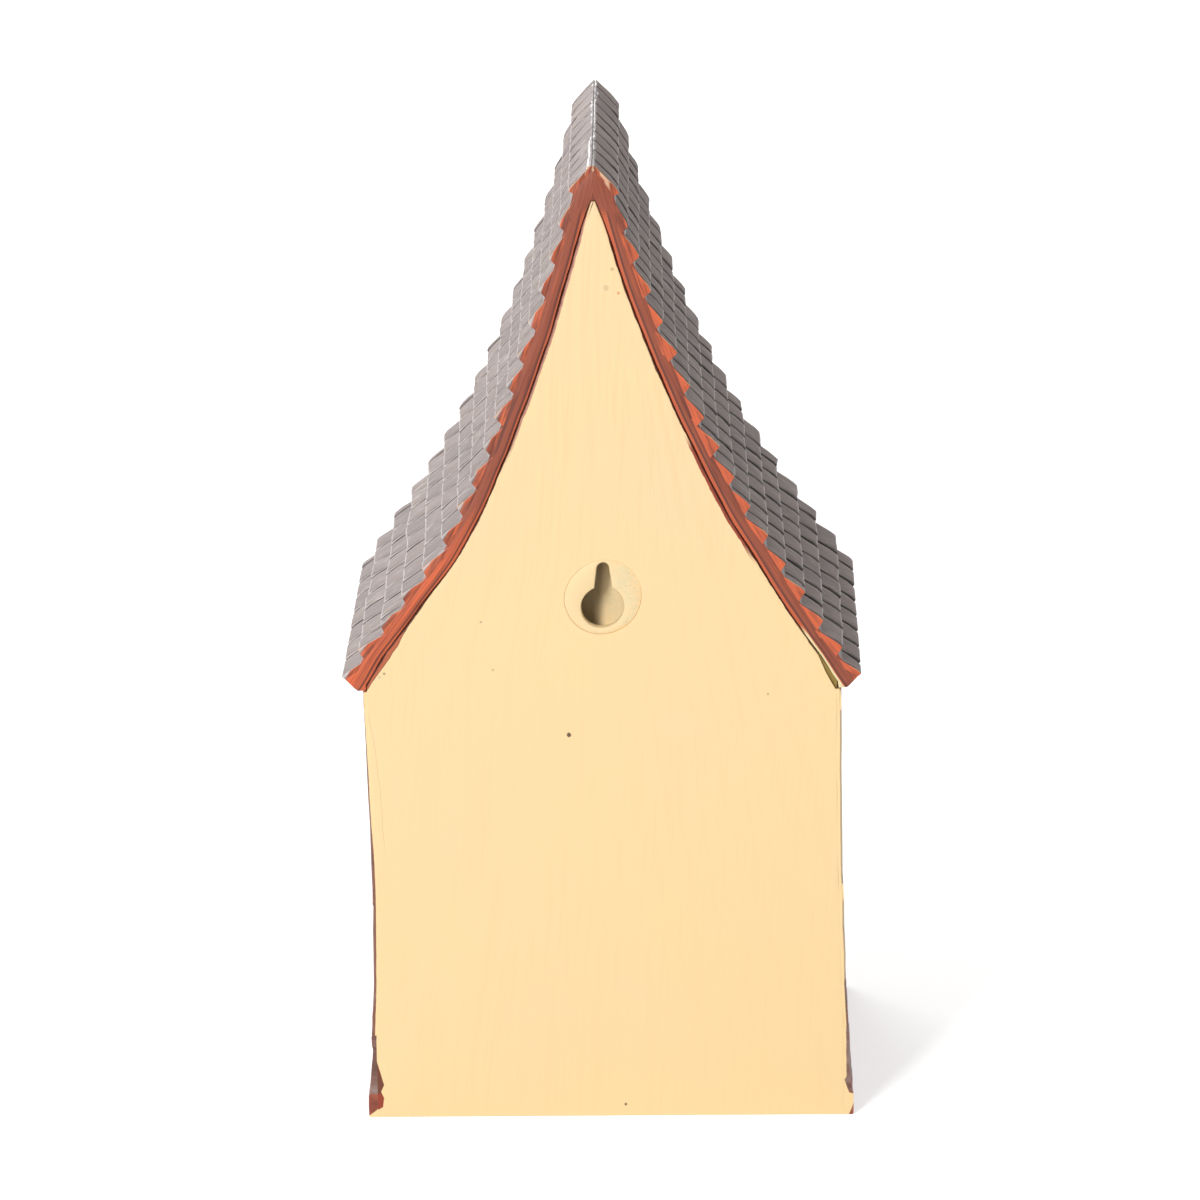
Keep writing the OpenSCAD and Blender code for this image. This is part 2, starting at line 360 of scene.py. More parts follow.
@dataclass(frozen=True)
class RoofCurve:
    """The hollow curve that gables, bargeboards and tiles share, on the +X side, in millimetres.

    A place on the roof is s, the way down the deck from the ridge, and h, the height over the deck.
    """

    ridge_z: float
    tip_z: float
    eave_x: float
    side_x: float = 72.0
    wall_h: float = 139.5
    tip_x: float = 1.8
    bell: float = 8.5
    seam: float = 0.3
    deck_t: float = 4.5
    tile_rise: float = 2.4
    top_rise: float = 1.4
    butt: float = 2.0
    courses: int = 17
    ridge_in: float = 3.6
    ridge_back: float = 0.73
    pinch: float = 1.2
    pinch_z: float = 274.0
    foot_lap: float = 1.7
    foot_cut: float = 3.6

    @cached_property
    def chord(self) -> Vector:
        """Straight line from the wall corner to the gable tip."""
        return Vector((self.tip_x - self.side_x, self.tip_z - self.wall_h))

    @cached_property
    def gable_r(self) -> float:
        """Radius of the gable edge."""
        return (self.chord.length_squared / 4 + self.bell**2) / (2 * self.bell)

    @cached_property
    def centre(self) -> Point:
        """Centre of the arcs, in X and Z."""
        out = Vector((self.chord.y, -self.chord.x)).normalized() * (self.gable_r - self.bell)
        return (self.side_x + self.tip_x) / 2 + out.x, (self.wall_h + self.tip_z) / 2 + out.y

    @cached_property
    def soffit_r(self) -> float:
        """Radius of the underside of the roof."""
        return self.gable_r - self.seam

    @cached_property
    def deck_r(self) -> float:
        """Radius of the deck under the tiles."""
        return self.soffit_r - self.deck_t

    def angle_at_z(self, radius: float, z: float) -> float:
        """Angle on an arc at a height."""
        return math.pi + math.asin((self.centre[1] - z) / radius)

    def angle_at_x(self, radius: float, x: float) -> float:
        """Angle on an arc at a half-width."""
        return math.pi + math.acos((self.centre[0] - x) / radius)

    def on_arc(self, radius: float, angle: float) -> Point:
        """Point of an arc in X and Z."""
        return self.centre[0] + radius * math.cos(angle), self.centre[1] + radius * math.sin(angle)

    @cached_property
    def deck_top(self) -> float:
        """Angle of the deck at the height of the ridge."""
        return self.angle_at_z(self.deck_r, self.ridge_z)

    @cached_property
    def course(self) -> float:
        """Length of one course of tiles down the slope."""
        end = self.angle_at_x(self.deck_r - self.tile_rise, self.eave_x)
        return ((end - self.deck_top) * self.deck_r + self.butt) / self.courses

    def at(self, s: float, h: float) -> Point:
        """Point of the roof in X and Z, from its way down the deck and its height over it."""
        return self.on_arc(self.deck_r - h, self.deck_top + s / self.deck_r)

    def rise(self, row: int) -> float:
        """Height of a course's lower edge over the deck."""
        return min(self.tile_rise, self.top_rise + (self.tile_rise - self.top_rise) * row / 4)

    def pinched(self, x: float, z: float) -> float:
        """Draws a half-width of the gable in towards the tip, which came out sharper than the arcs."""
        return max(min(x, 0.4), x - self.pinch * max(0.0, (z - self.pinch_z) / (self.tip_z - self.pinch_z)) ** 2)

    def gable_x(self, z: float) -> float:
        """Half-width of the gable at a height."""
        return self.on_arc(self.gable_r, self.angle_at_z(self.gable_r, z))[0]

    @cached_property
    def foot_z(self) -> float:
        """Height of the foot of the roof."""
        return self.wall_h - self.foot_lap


def linear(colour: str) -> tuple[float, float, float, float]:
    """Turns an sRGB hex colour into the linear colour that shaders use.

    Args:
        colour: Six hex digits after a hash.

    Returns:
        Red, green, blue and full alpha.
    """
    parts = [int(colour[i : i + 2], 16) / 255 for i in (1, 3, 5)]
    made = [part / 12.92 if part <= 0.04045 else ((part + 0.055) / 1.055) ** 2.4 for part in parts]
    return made[0], made[1], made[2], 1.0


def add_node(tree: Tree, kind: str, inputs: dict | None = None, out: int | str = 0, **settings: object) -> Socket:
    """Adds a node with its settings and links.

    Args:
        tree: The node tree.
        kind: Node type without its ShaderNode prefix.
        inputs: Values or sockets by input name or number.
        out: Which output to return.
        **settings: Node properties. "stops" holds a colour ramp's places, with colours or grey levels.

    Returns:
        The chosen output.
    """
    made = tree.nodes.new("ShaderNode" + kind)
    stops = settings.pop("stops", ())
    for name, value in settings.items():
        setattr(made, name, value)
    for place, _ in stops[2:]:
        made.color_ramp.elements.new(place)
    for number, (place, colour) in enumerate(stops):
        made.color_ramp.elements[number].position = place
        made.color_ramp.elements[number].color = linear(colour) if isinstance(colour, str) else (colour,) * 3 + (1,)
    for key, value in (inputs or {}).items():
        if isinstance(value, Socket):
            tree.links.new(value, made.inputs[key])
        else:
            made.inputs[key].default_value = value
    return made.outputs[out] if len(made.outputs) else None


def painted(tree: Tree, base: object, coats: Sequence[tuple[object, object]], mode: str = "MIX") -> Socket:
    """Lays coats of paint over a colour.

    Args:
        tree: The node tree.
        base: The colour underneath, as a hex colour or a socket.
        coats: Pairs of a mask and a coat's colour, in the order of painting.
        mode: How a coat meets what is under it.

    Returns:
        The painted colour.
    """
    colour = base if isinstance(base, Socket) else linear(base)
    for share, coat in coats:
        above = coat if isinstance(coat, Socket) else linear(coat)
        inputs = {MIX_FACTOR: share, MIX_A: colour, MIX_B: above}
        colour = add_node(tree, "Mix", inputs, MIX_RESULT, data_type="RGBA", blend_type=mode)
    return colour


def mask(tree: Tree, *limits: object) -> Socket:
    """Makes one soft mask from several limits.

    Args:
        tree: The node tree.
        *limits: Each is a mask, a share, or a value with the place where it is kept out and the place
            where it is let in.

    Returns:
        1 where every limit lets in, and 0 where one keeps out.
    """
    made = 1.0
    for limit in limits:
        if isinstance(limit, tuple):
            inputs = {"Value": limit[0], "From Min": limit[1], "From Max": limit[2]}
            limit = add_node(tree, "MapRange", inputs, interpolation_type="SMOOTHSTEP")
        made = add_node(tree, "Math", {0: made, 1: limit}, operation="MULTIPLY")
    return made


def weighed(tree: Tree, *terms: tuple[Socket, float]) -> Socket:
    """Adds up patterns by weight, as when grain and blotches decide together where a dry brush leaves paint."""
    made = 0.0
    for pattern, weight in terms:
        made = add_node(tree, "Math", {0: pattern, 1: weight, 2: made}, operation="MULTIPLY_ADD")
    return made


def strokes(tree: Tree, place: Socket, lengths: Sequence[float], turn: float = 0.0) -> Socket:
    """Draws brush strokes, grain or clouds.

    Args:
        tree: The node tree.
        place: Place in millimetres.
        lengths: Length of a stroke along X, Y and Z, in millimetres.
        turn: Lean of the strokes about Y, in degrees.

    Returns:
        A value from 0 to 1.
    """
    turned = add_node(tree, "Mapping", {"Vector": place, "Rotation": (0, math.radians(turn), 0)})
    scaled = add_node(tree, "Mapping", {"Vector": turned, "Scale": tuple(1 / length for length in lengths)})
    return add_node(tree, "TexNoise", {"Vector": scaled, "Scale": 1.0, "Detail": 3.0, "Roughness": 0.6})


def bent_place(tree: Tree, place: Socket, curve: RoofCurve) -> Socket:
    """Lays a place out along the curve of the roof.

    Args:
        tree: The node tree.
        place: Place in millimetres.
        curve: The curve.

    Returns:
        Distance from the centre of the arcs, way down along the deck, and Y.
    """
    x, y, z = (add_node(tree, "SeparateXYZ", {0: place}, axis) for axis in "XYZ")
    across = add_node(tree, "Math", {0: x}, operation="ABSOLUTE")
    out = add_node(tree, "Math", {0: curve.centre[0], 1: across}, operation="SUBTRACT")
    down = add_node(tree, "Math", {0: curve.centre[1], 1: z}, operation="SUBTRACT")
    flat = add_node(tree, "CombineXYZ", {"X": out, "Y": down})
    reach = add_node(tree, "VectorMath", {0: flat}, "Value", operation="LENGTH")
    angle = add_node(tree, "Math", {0: down, 1: out}, operation="ARCTAN2")
    run = add_node(tree, "Math", {0: angle, 1: curve.deck_r}, operation="MULTIPLY")
    return add_node(tree, "CombineXYZ", {"X": reach, "Y": run, "Z": y})


def lap_line(tree: Tree, z: Socket, stops: Sequence[Point]) -> Socket:
    """Gives how far a paint reaches, by height.

    Args:
        tree: The node tree.
        z: Height in millimetres.
        stops: Heights from low to high, with the reach in millimetres there.

    Returns:
        The reach in millimetres.
    """
    low, high = stops[0][0], stops[-1][0]
    least, most = min(reach for _, reach in stops), max(reach for _, reach in stops)
    levels = tuple(((height - low) / (high - low), (reach - least) / (most - least)) for height, reach in stops)
    share = add_node(tree, "MapRange", {"Value": z, "From Min": low, "From Max": high})
    line = add_node(tree, "ValToRGB", {0: share}, stops=levels)
    return add_node(tree, "MapRange", {"Value": line, "To Min": least, "To Max": most})


@dataclass(frozen=True)
class Finish:
    """A surface finish. Its patterns are laid out in millimetres on the piece's own coordinates."""

    name: str
    roughness: float = 0.5
    ior: float = 1.5
    metallic: float = 0.0
    relief: float = 0.1
    at_rest: bool = True

    def paint(self, tree: Tree, place: Socket) -> tuple[Socket, Socket]:
        """Gives the colour, and the height of the surface from 0 to 1.

        Args:
            tree: The node tree.
            place: Place in millimetres.
        """
        raise NotImplementedError

    def material(self) -> bpy.types.Material:
        """Makes the material, or gives the one made before."""
        found = bpy.data.materials.get(self.name)
        if found:
            return found
        made = bpy.data.materials.new(self.name)
        made.use_nodes = True
        tree = made.node_tree
        tree.nodes.clear()
        if self.at_rest:
            place = add_node(tree, "Attribute", out="Vector", attribute_name=REST_PLACE)
        else:
            coordinates = add_node(tree, "TexCoord", out="Object")
            place = add_node(tree, "VectorMath", {0: coordinates, "Scale": 1 / MM}, operation="SCALE")
        colour, height = self.paint(tree, place)
        inputs = {
            "Base Color": colour,
            "Normal": add_node(tree, "Bump", {"Height": height, "Distance": self.relief * MM}),
            "Roughness": self.roughness,
            "IOR": self.ior,
            "Metallic": self.metallic,
        }
        add_node(tree, "OutputMaterial", {"Surface": add_node(tree, "BsdfPrincipled", inputs)})
        return made


@dataclass(frozen=True)
class Mark:
    """A small mark on the back wall, by its place in X and Z and its size, in millimetres."""

    x: float
    z: float
    radius: float
    colour: str


@dataclass(frozen=True)
class CreamPaint(Finish):
    """Matt acrylic, brushed in two thin coats on cast resin: even and warm, with faint brush marks. It is painted a
    little paler towards the top and towards the left, where the light falls, and dark in the seam groove and the
    chipped wedge as painted shade.
    """

    curve: RoofCurve | None = None
    back_y: float = 61.0
    pale: str = "#fad8ac"
    warm: str = "#fbdba4"
    groove_shade: str = "#5e3325"
    red: str = "#b9603f"
    pink: str = "#b98270"
    brown: str = "#6d3a27"
    band: str = "#943b26"
    chip_shade: str = "#9c8442"
    hair: str = "#c4ab80"
    marks: tuple[Mark, ...] = ()
    laps: tuple[Point, ...] = ((1.0, 74.2), (3.3, 70.4), (6.3, 70.0), (8.3, 70.9), (10.6, 69.9), (17.8, 71.9))
    strip: tuple[Point, ...] = ((140, 0.2), (143, 0.5), (148, 1.0), (152, 1.0), (159, -0.7))

    def paint(self, tree: Tree, place: Socket) -> tuple[Socket, Socket]:
        """Gives the cream coat with its marks and its painted light and shade, and the brush marks' height."""
        x, y, z = (add_node(tree, "SeparateXYZ", {0: place}, axis) for axis in "XYZ")
        # Painted light: the tone grows paler with height and towards +X, the left, where the light falls; the clouds
        # are the paint's own unevenness.
        light = weighed(tree, (strokes(tree, place, (60, 60, 60)), 0.7), (z, 0.0009), (x, 0.0006))
        tone = add_node(tree, "ValToRGB", {0: light}, stops=((0.36, self.warm), (0.86, self.pale)))
        upright = strokes(tree, place, (1.3, 1.3, 40), 5)
        fan = self._fan(tree, x, z)
        brushed = weighed(tree, (upright, 0.5), (fan, 0.5))
        kept = mask(tree, (z, 150, 220), 0.16)
        kept = add_node(tree, "Math", {0: kept, 1: 0.12})
        thin = ((0.4, "#f3ead9"), (0.52, "#ffffff"), (0.62, "#fff9ee"))
        colour = painted(tree, tone, [(kept, add_node(tree, "ValToRGB", {0: brushed}, stops=thin))], "MULTIPLY")
        at_back = mask(tree, (y, self.back_y - 1.3, self.back_y - 0.8))
        colour = painted(tree, colour, self._slips(tree, place, at_back))
        dots = [(mask(tree, at_back, self._dot(tree, place, mark)), mark.colour) for mark in self.marks]
        dots.append((mask(tree, at_back, self._hair_crack(tree, place, x, z)), self.hair))
        saw = mask(tree, strokes(tree, place, (0.6, 1, 9)), (z, 14, 5))
        return painted(tree, colour, dots), weighed(tree, (brushed, 0.6), (strokes(tree, place, (1, 1, 1)), 0.3), (saw, 0.6))

    def _fan(self, tree: Tree, x: Socket, z: Socket) -> Socket:
        """Draws the brush strokes that fan out under the gable tip."""
        fall = add_node(tree, "Math", {0: self.curve.ridge_z + 40, 1: z}, operation="SUBTRACT")
        angle = add_node(tree, "Math", {0: x, 1: fall}, operation="ARCTAN2")
        turned = add_node(tree, "CombineXYZ", {"X": weighed(tree, (angle, 100.0)), "Z": fall})
        return strokes(tree, turned, (1.7, 1, 70))

    def _dot(self, tree: Tree, place: Socket, mark: Mark) -> Socket:
        """Mask of one small mark, with a ragged edge."""
        centre = (mark.x, self.back_y, mark.z)
        away = add_node(tree, "VectorMath", {0: place, 1: centre}, "Value", operation="DISTANCE")
        worn = weighed(tree, (away, 1.0), (strokes(tree, place, (0.6, 0.6, 0.6)), mark.radius))
        return mask(tree, (worn, mark.radius * 1.6, mark.radius * 1.25))

    def _hair_crack(self, tree: Tree, place: Socket, x: Socket, z: Socket) -> Socket:
        """Mask of the hair crack that runs down from the left eave."""
        share = add_node(tree, "MapRange", {"Value": z, "From Min": 84.0, "From Max": 135.0})
        bends = ((0.0, 0.0), (0.38, 0.1), (0.68, 0.33), (0.84, 0.62), (1.0, 1.0))
        fall = add_node(tree, "ValToRGB", {0: share}, stops=bends)
        line = add_node(tree, "MapRange", {"Value": fall, "To Min": 69.0, "To Max": 72.8})
        off = weighed(tree, (x, 1.0), (line, -1.0), (strokes(tree, place, (4, 4, 4)), 1.0))
        off = add_node(tree, "Math", {0: off, 1: 0.5}, operation="SUBTRACT")
        away = add_node(tree, "Math", {0: off}, operation="ABSOLUTE")
        return mask(tree, (away, 0.2, 0.05), (z, 84, 90), (z, 137, 134), 0.35)

    def _slips(self, tree: Tree, place: Socket, at_back: Socket) -> list[tuple[Socket, str]]:
        """Masks and colours of the neighbouring paints where they slipped over the back wall's edge, with painted
        shade in the seam groove and the chipped wedge, and a painted highlight on the left edge.
        """
        x, y, z = (add_node(tree, "SeparateXYZ", {0: place}, axis) for axis in "XYZ")
        bent = bent_place(tree, place, self.curve)
        reach = add_node(tree, "SeparateXYZ", {0: bent}, "X")
        wander = strokes(tree, place, (5, 5, 5))
        inside = weighed(tree, (reach, 1.0), (wander, 0.9))
        edge = self.curve.gable_r + 0.45
        left, right = (x, 0.0, 1.0), (x, 0.0, -1.0)
        strip = weighed(tree, (inside, 1.0), (lap_line(tree, z, self.strip), -1.0))
        lapped = weighed(tree, (x, 1.0), (lap_line(tree, z, self.laps), -1.0), (wander, 0.3))
        over = (lapped, 0.05, 0.25)
        # Painted shade: the recessed floor of the chipped wedge above the right eave is olive, as shaded cream.
        chip = mask(
            tree, right, (z, 134, 136), (z, 159, 157.5), (y, self.back_y - 0.25, self.back_y - 0.4),
            (reach, self.curve.gable_r + 4, self.curve.gable_r + 3),
        )
        return [
            # Red paint slipped onto the left edge, painted pale pink as a highlight where the edge faces the light.
            (mask(tree, at_back, left, (inside, edge + 1.0, edge + 0.8), (z, 205, 222)), self.pink),
            (mask(tree, at_back, right, (inside, edge + 1.2, edge + 1.0), (z, 176, 184), (z, 218, 212)), self.band),
            # Painted shade: a thin dark line where the red strip meets the cream.
            (mask(tree, at_back, left, (strip, edge + 0.8, edge + 0.6)), self.groove_shade),
            (mask(tree, at_back, left, (strip, edge + 0.6, edge + 0.45)), self.red),
            # Painted shade: a dark line along the seam groove at the panel's edge.
            (mask(tree, at_back, (inside, edge + 0.45, edge + 0.25)), self.groove_shade),
            (mask(tree, at_back, over, (z, 18.5, 17)), self.band),
            (mask(tree, at_back, over, (z, 18.5, 17), (z, 7.4, 8.0)), self.brown),
            (chip, self.chip_shade),
        ]


@dataclass(frozen=True)
class RedOxidePaint(Finish):
    """Red oxide acrylic with a light varnish on the bargeboards: brushed lengthwise into darker and paler streaks,
    the paler ones partly painted sheen. The lower left and the inner lip carry painted highlights, and the seam and
    the deck between the tiles painted shade.
    """

    curve: RoofCurve | None = None
    half_depth: float = 61.0
    base: str = "#964a31"
    light: str = "#db6639"
    dark: str = "#6f3322"
    # Dark colour of the painted shade along the seam beside the panel
    seam: str = "#572618"
    gap_shade: str = "#231c1b"
    # Paler painted shade of the deck on the lit left slope
    dull: str = "#6f6664"
    cream: str = "#efdcab"

    def paint(self, tree: Tree, place: Socket) -> tuple[Socket, Socket]:
        """Gives the streaked coat with its painted light and shade, and the height of its brush marks."""
        x, y, z = (add_node(tree, "SeparateXYZ", {0: place}, axis) for axis in "XYZ")
        bent = bent_place(tree, place, self.curve)
        reach = add_node(tree, "SeparateXYZ", {0: bent}, "X")
        fine, broad = strokes(tree, bent, (0.6, 20, 9)), strokes(tree, bent, (2.4, 45, 9))
        # Painted highlight: the left board (+X), which faces the light, is painted lighter towards its foot.
        painted_highlight_low_left = mask(tree, (z, 240, 148), (x, 0, 30), 0.24)
        lit = weighed(tree, (broad, 0.75), (fine, 0.2), (painted_highlight_low_left, 1.0))
        streaks = ((0.34, self.dark), (0.45, self.base), (0.56, self.base), (0.78, self.light))
        hairs = add_node(tree, "ValToRGB", {0: fine}, stops=((0.36, "#b48a7c"), (0.5, "#ffffff")))
        colour = painted(
            tree, add_node(tree, "ValToRGB", {0: lit}, stops=streaks), [(0.4, hairs)], "MULTIPLY"
        )
        deep = add_node(tree, "Math", {0: y}, operation="ABSOLUTE")
        right = mask(tree, (x, 1.0, -1.0))
        inset = weighed(tree, (reach, 1.0), (right, 0.4))
        edge, under = self.curve.soffit_r, (z, self.curve.tip_z - 1, self.curve.tip_z - 6)
        # Painted highlight: a light line on the board's inner lip, where its edge catches the light.
        lip = mask(tree, (inset, edge - 0.6, edge - 0.4), under, 0.6)
        # Painted shade: a dark line along the seam beside the panel.
        line = mask(tree, (inset, edge - 1.3, edge - 1.0), (inset, edge - 0.45, edge - 0.7), under, 0.85)
        # Painted shade: the deck top seen between the tiles is painted near black, and a paler grey on the left slope
        # (+X), which the light reaches.
        top = mask(tree, (reach, self.curve.deck_r + 0.9, self.curve.deck_r + 0.5))
        deck_in_shade = mask(tree, top, (deep, self.half_depth - 1.0, self.half_depth - 1.8))
        at_back = (y, self.half_depth - 6, self.half_depth - 4)
        rim = mask(tree, right, (reach, edge - 0.75, edge - 0.5), (z, 158, 154), at_back)
        lit_floor = mask(tree, deck_in_shade, (x, -1.0, 1.0))
        coats = [(lip, self.light), (line, self.seam), (rim, self.cream), (deck_in_shade, self.gap_shade)]
        coats.append((lit_floor, self.dull))
        return painted(tree, colour, coats), weighed(tree, (fine, 1.0), (broad, 1.0))


@dataclass(frozen=True)
class SlatePaint(RedOxidePaint):
    """Grey acrylic on carved tiles, dry-brushed with off-white, so the raised grain and the edges are pale. The
    joints are painted dark as shade, most on the right slope, and paler on the left slope, which faces the light.
    """

    slate: str = "#887873"
    deep: str = "#716460"
    sandy: str = "#928178"
    furrow: str = "#5b4f4e"
    chalk: str = "#dcd4d3"
    shadow: str = "#2a2220"
    # Paler painted shade of the joint walls on the lit left slope
    soft: str = "#746a68"
    highlight_orange: str = "#c9603f"
    tan: str = "#dcae8c"
    lip_share: float = 0.62
    # Share of the painted shade along the right slope's joints
    wash: float = 0.85
    attribute: str = "tile_place"

    def paint(self, tree: Tree, place: Socket) -> tuple[Socket, Socket]:
        """Gives the dry-brushed coat with its painted light and shade, the red ends and the height of the grain."""
        x, y, z = (add_node(tree, "SeparateXYZ", {0: place}, axis) for axis in "XYZ")
        local = add_node(tree, "Attribute", out="Vector", attribute_name=self.attribute)
        across, down, own = (add_node(tree, "SeparateXYZ", {0: local}, axis) for axis in "XYZ")
        on_tile = add_node(
            tree, "CombineXYZ", {"X": y, "Y": weighed(tree, (down, 9.0)), "Z": weighed(tree, (own, 50.0))}
        )
        grain = strokes(tree, on_tile, (0.5, 9, 1))
        blotch = strokes(tree, place, (8, 8, 8))
        shades = ((0.1, self.deep), (0.5, self.slate), (0.9, self.sandy))
        body = add_node(tree, "ValToRGB", {0: weighed(tree, (own, 0.45), (blotch, 0.55))}, stops=shades)
        chalky = weighed(tree, (grain, 1.0), (blotch, 0.8))
        facing, near_end = self._ends(tree, y)
        inner = mask(tree, (facing, 0.55, 0.8), (near_end, self.half_depth - 0.9, self.half_depth - 1.5))
        beside = add_node(tree, "Math", {0: across}, operation="ABSOLUTE")
        lip = weighed(tree, (grain, 0.16), (down, 1.0))
        sunny = mask(tree, (x, -1.0, 1.0))
        coats = [
            (mask(tree, (grain, 0.48, 0.34), 0.6), self.furrow),
            (mask(tree, (chalky, 0.95, 1.3), 0.55), self.chalk),
            # Painted highlight: pale joint edges on the left slope only, which faces the light.
            (mask(tree, (beside, 0.92, 1.0), (chalky, 0.8, 1.1), sunny, 0.4), self.chalk),
            (mask(tree, (lip, 1.0, 1.05), (down, 1.2, 1.08), self.lip_share), self.chalk),
            # Painted shade along the right slope's joints, where the light grazes.
            (mask(tree, (beside, 0.87, 0.93), (down, 0.25, 0.75), (x, 1.0, -1.0), self.wash), self.shadow),
            (mask(tree, (down, 1.3, 1.6)), self.shadow),
            (inner, self.shadow),
            # Painted light: on the left slope the joint walls' painted shade is paler.
            (mask(tree, inner, sunny), self.soft),
        ]
        colour = painted(tree, painted(tree, body, coats), self._painted_ends(tree, place, facing, near_end, down))
        return colour, weighed(tree, (grain, 0.8), (blotch, 0.6))

    def _ends(self, tree: Tree, y: Socket) -> tuple[Socket, Socket]:
        """Gives how far a face looks along the roof, and how near it is to an end."""
        normal = add_node(tree, "TexCoord", out="Normal")
        along = add_node(tree, "SeparateXYZ", {0: normal}, "Y")
        facing = add_node(tree, "Math", {0: along}, operation="ABSOLUTE")
        return facing, add_node(tree, "Math", {0: y}, operation="ABSOLUTE")

    def _painted_ends(self, tree: Tree, place: Socket, facing: Socket, near_end: Socket, down: Socket) -> list:
        """Masks and colours of the tile ends, which were painted with the bargeboards, with painted highlights: a
        pale rim, brighter orange ends on the right slope and lighter upper parts near the ridge.
        """
        x, y, z = (add_node(tree, "SeparateXYZ", {0: place}, axis) for axis in "XYZ")
        bent = bent_place(tree, place, self.curve)
        streak = strokes(tree, bent, (0.8, 9, 9))
        ragged = weighed(tree, (facing, 1.0), (strokes(tree, place, (1.4, 1.4, 1.4)), 0.35))
        outer = (near_end, self.half_depth - 2.4, self.half_depth - 1.6)
        reach = add_node(tree, "SeparateXYZ", {0: bent}, "X")
        below = weighed(tree, (reach, 1.0), (mask(tree, (x, -1, 1)), -10.0), (strokes(tree, bent, (1, 5, 1)), 0.8))
        cover = self.curve.deck_r - 10.0 + 0.4 - 1.3
        end = mask(tree, outer, (ragged, 0.98, 1.06), (below, cover - 0.15, cover + 0.15))
        # Painted highlight: a pale tan line on the rounded rim of each end.
        rim = mask(tree, outer, (ragged, 0.62, 0.72), (ragged, 1.08, 1.0))
        dull = add_node(tree, "ValToRGB", {0: streak}, stops=((0.35, self.dark), (0.5, self.base), (0.7, self.light)))
        warm = add_node(tree, "ValToRGB", {0: streak}, stops=((0.35, self.base), (0.5, self.highlight_orange), (0.68, self.light)))
        # Painted highlight: the ends on the right slope, which catch the light, are painted a brighter orange.
        right = mask(tree, (x, 1, -3), (z, 285, 262))
        # Painted highlight: the upper part of the ends near the ridge is painted lighter.
        high = mask(tree, (down, 1.3, 1.12))
        apex = mask(tree, (x, 2.6, 1.8), (x, -5.2, -4.4), (z, 289.5, 290.5), (y, 0, 1), (down, 1.34, 1.26))
        return [
            (rim, self.tan),
            (end, dull),
            (mask(tree, end, right), warm),
            (mask(tree, end, high, (z, 285, 268), 0.5), self.light),
            (mask(tree, end, apex), self.tan),
        ]


@dataclass(frozen=True)
class BrownPaint(Finish):
    """Umber acrylic on carved timber, dry-brushed along the grain, so the ridges of the grain are paler."""

    base: str = "#86594a"
    ridge: str = "#ad8878"
    furrow: str = "#59382d"
    cream: str = "#fcdca5"
    back_y: float = 61.0
    grain: tuple[float, float, float] = (1.0, 1.0, 16.0)
    left_laps: tuple[Point, ...] = ((30, 72.4), (45, 72.4), (75, 72.3), (95, 72.75), (137, 73.15))
    attribute: str = "beam_place"

    def paint(self, tree: Tree, place: Socket) -> tuple[Socket, Socket]:
        """Gives the dry-brushed coat and the height of the carved grain."""
        local = add_node(tree, "Attribute", out="Vector", attribute_name=self.attribute)
        lines = strokes(tree, local, self.grain)
        worn = weighed(tree, (lines, 1.0), (strokes(tree, place, (7, 7, 7)), 0.3))
        shade = ((0.44, self.furrow), (0.6, self.base), (0.7, self.base), (0.86, self.ridge))
        x, y, z = (add_node(tree, "SeparateXYZ", {0: place}, axis) for axis in "XYZ")
        wander = strokes(tree, place, (4, 4, 4))
        high = weighed(tree, (z, 1.0), (wander, 8.0))
        inner = weighed(tree, (lap_line(tree, z, self.left_laps), 1.0), (x, -1.0), (wander, 0.3))
        end, left, right = (y, self.back_y - 1.1, self.back_y - 0.6), (x, 0, 1), (x, 0, -1)
        laps = [
            (mask(tree, end, right, (high, 46, 49)), self.cream),
            (mask(tree, end, right, (x, -73.0, -72.7)), self.cream),
            (mask(tree, end, left, (inner, 0.1, 0.25)), self.cream),
        ]
        return painted(tree, add_node(tree, "ValToRGB", {0: worn}, stops=shade), laps), lines


@dataclass(frozen=True)
class PlinthPaint(Finish):
    """Brown or red acrylic with a pale dry-brushed coat on the cast foot, which looks like weathered stone."""

    base: str = "#785348"
    brushed: str = "#98827a"
    dark: str = "#573a31"
    cream: str = "#fbdca4"
    back_y: float = 61.0
    laps: tuple[Point, ...] = ((0.0, 73.4), (4.0, 74.9), (6.8, 74.9), (7.2, 73.4), (11.3, 72.1), (12.5, 72.7))
    left_laps: tuple[Point, ...] = ((0.0, 75.2), (1.0, 74.0), (2.4, 72.2), (4.0, 71.0))

    def paint(self, tree: Tree, place: Socket) -> tuple[Socket, Socket]:
        """Gives the mottled coat and the height of the cast surface."""
        x, y, z = (add_node(tree, "SeparateXYZ", {0: place}, axis) for axis in "XYZ")
        broad, fine = strokes(tree, place, (16, 16, 7)), strokes(tree, place, (5, 5, 2))
        both = weighed(tree, (broad, 0.6), (fine, 0.4))
        shade = ((0.36, self.dark), (0.47, self.base), (0.66, self.brushed))
        colour = add_node(tree, "ValToRGB", {0: both}, stops=shade)
        lapped = weighed(tree, (x, 1.0), (lap_line(tree, z, self.laps), 1.0), (fine, 0.3))
        end = (y, self.back_y - 0.9, self.back_y - 0.5)
        behind = mask(tree, (lapped, 0.05, 0.3), (x, 0, -1), end)
        left = weighed(tree, (lap_line(tree, z, self.left_laps), 1.0), (x, -1.0), (fine, 0.3))
        corner = mask(tree, (left, 0.05, 0.3), (x, 0, 1), end)
        return painted(tree, colour, [(behind, self.cream), (corner, self.cream)]), both


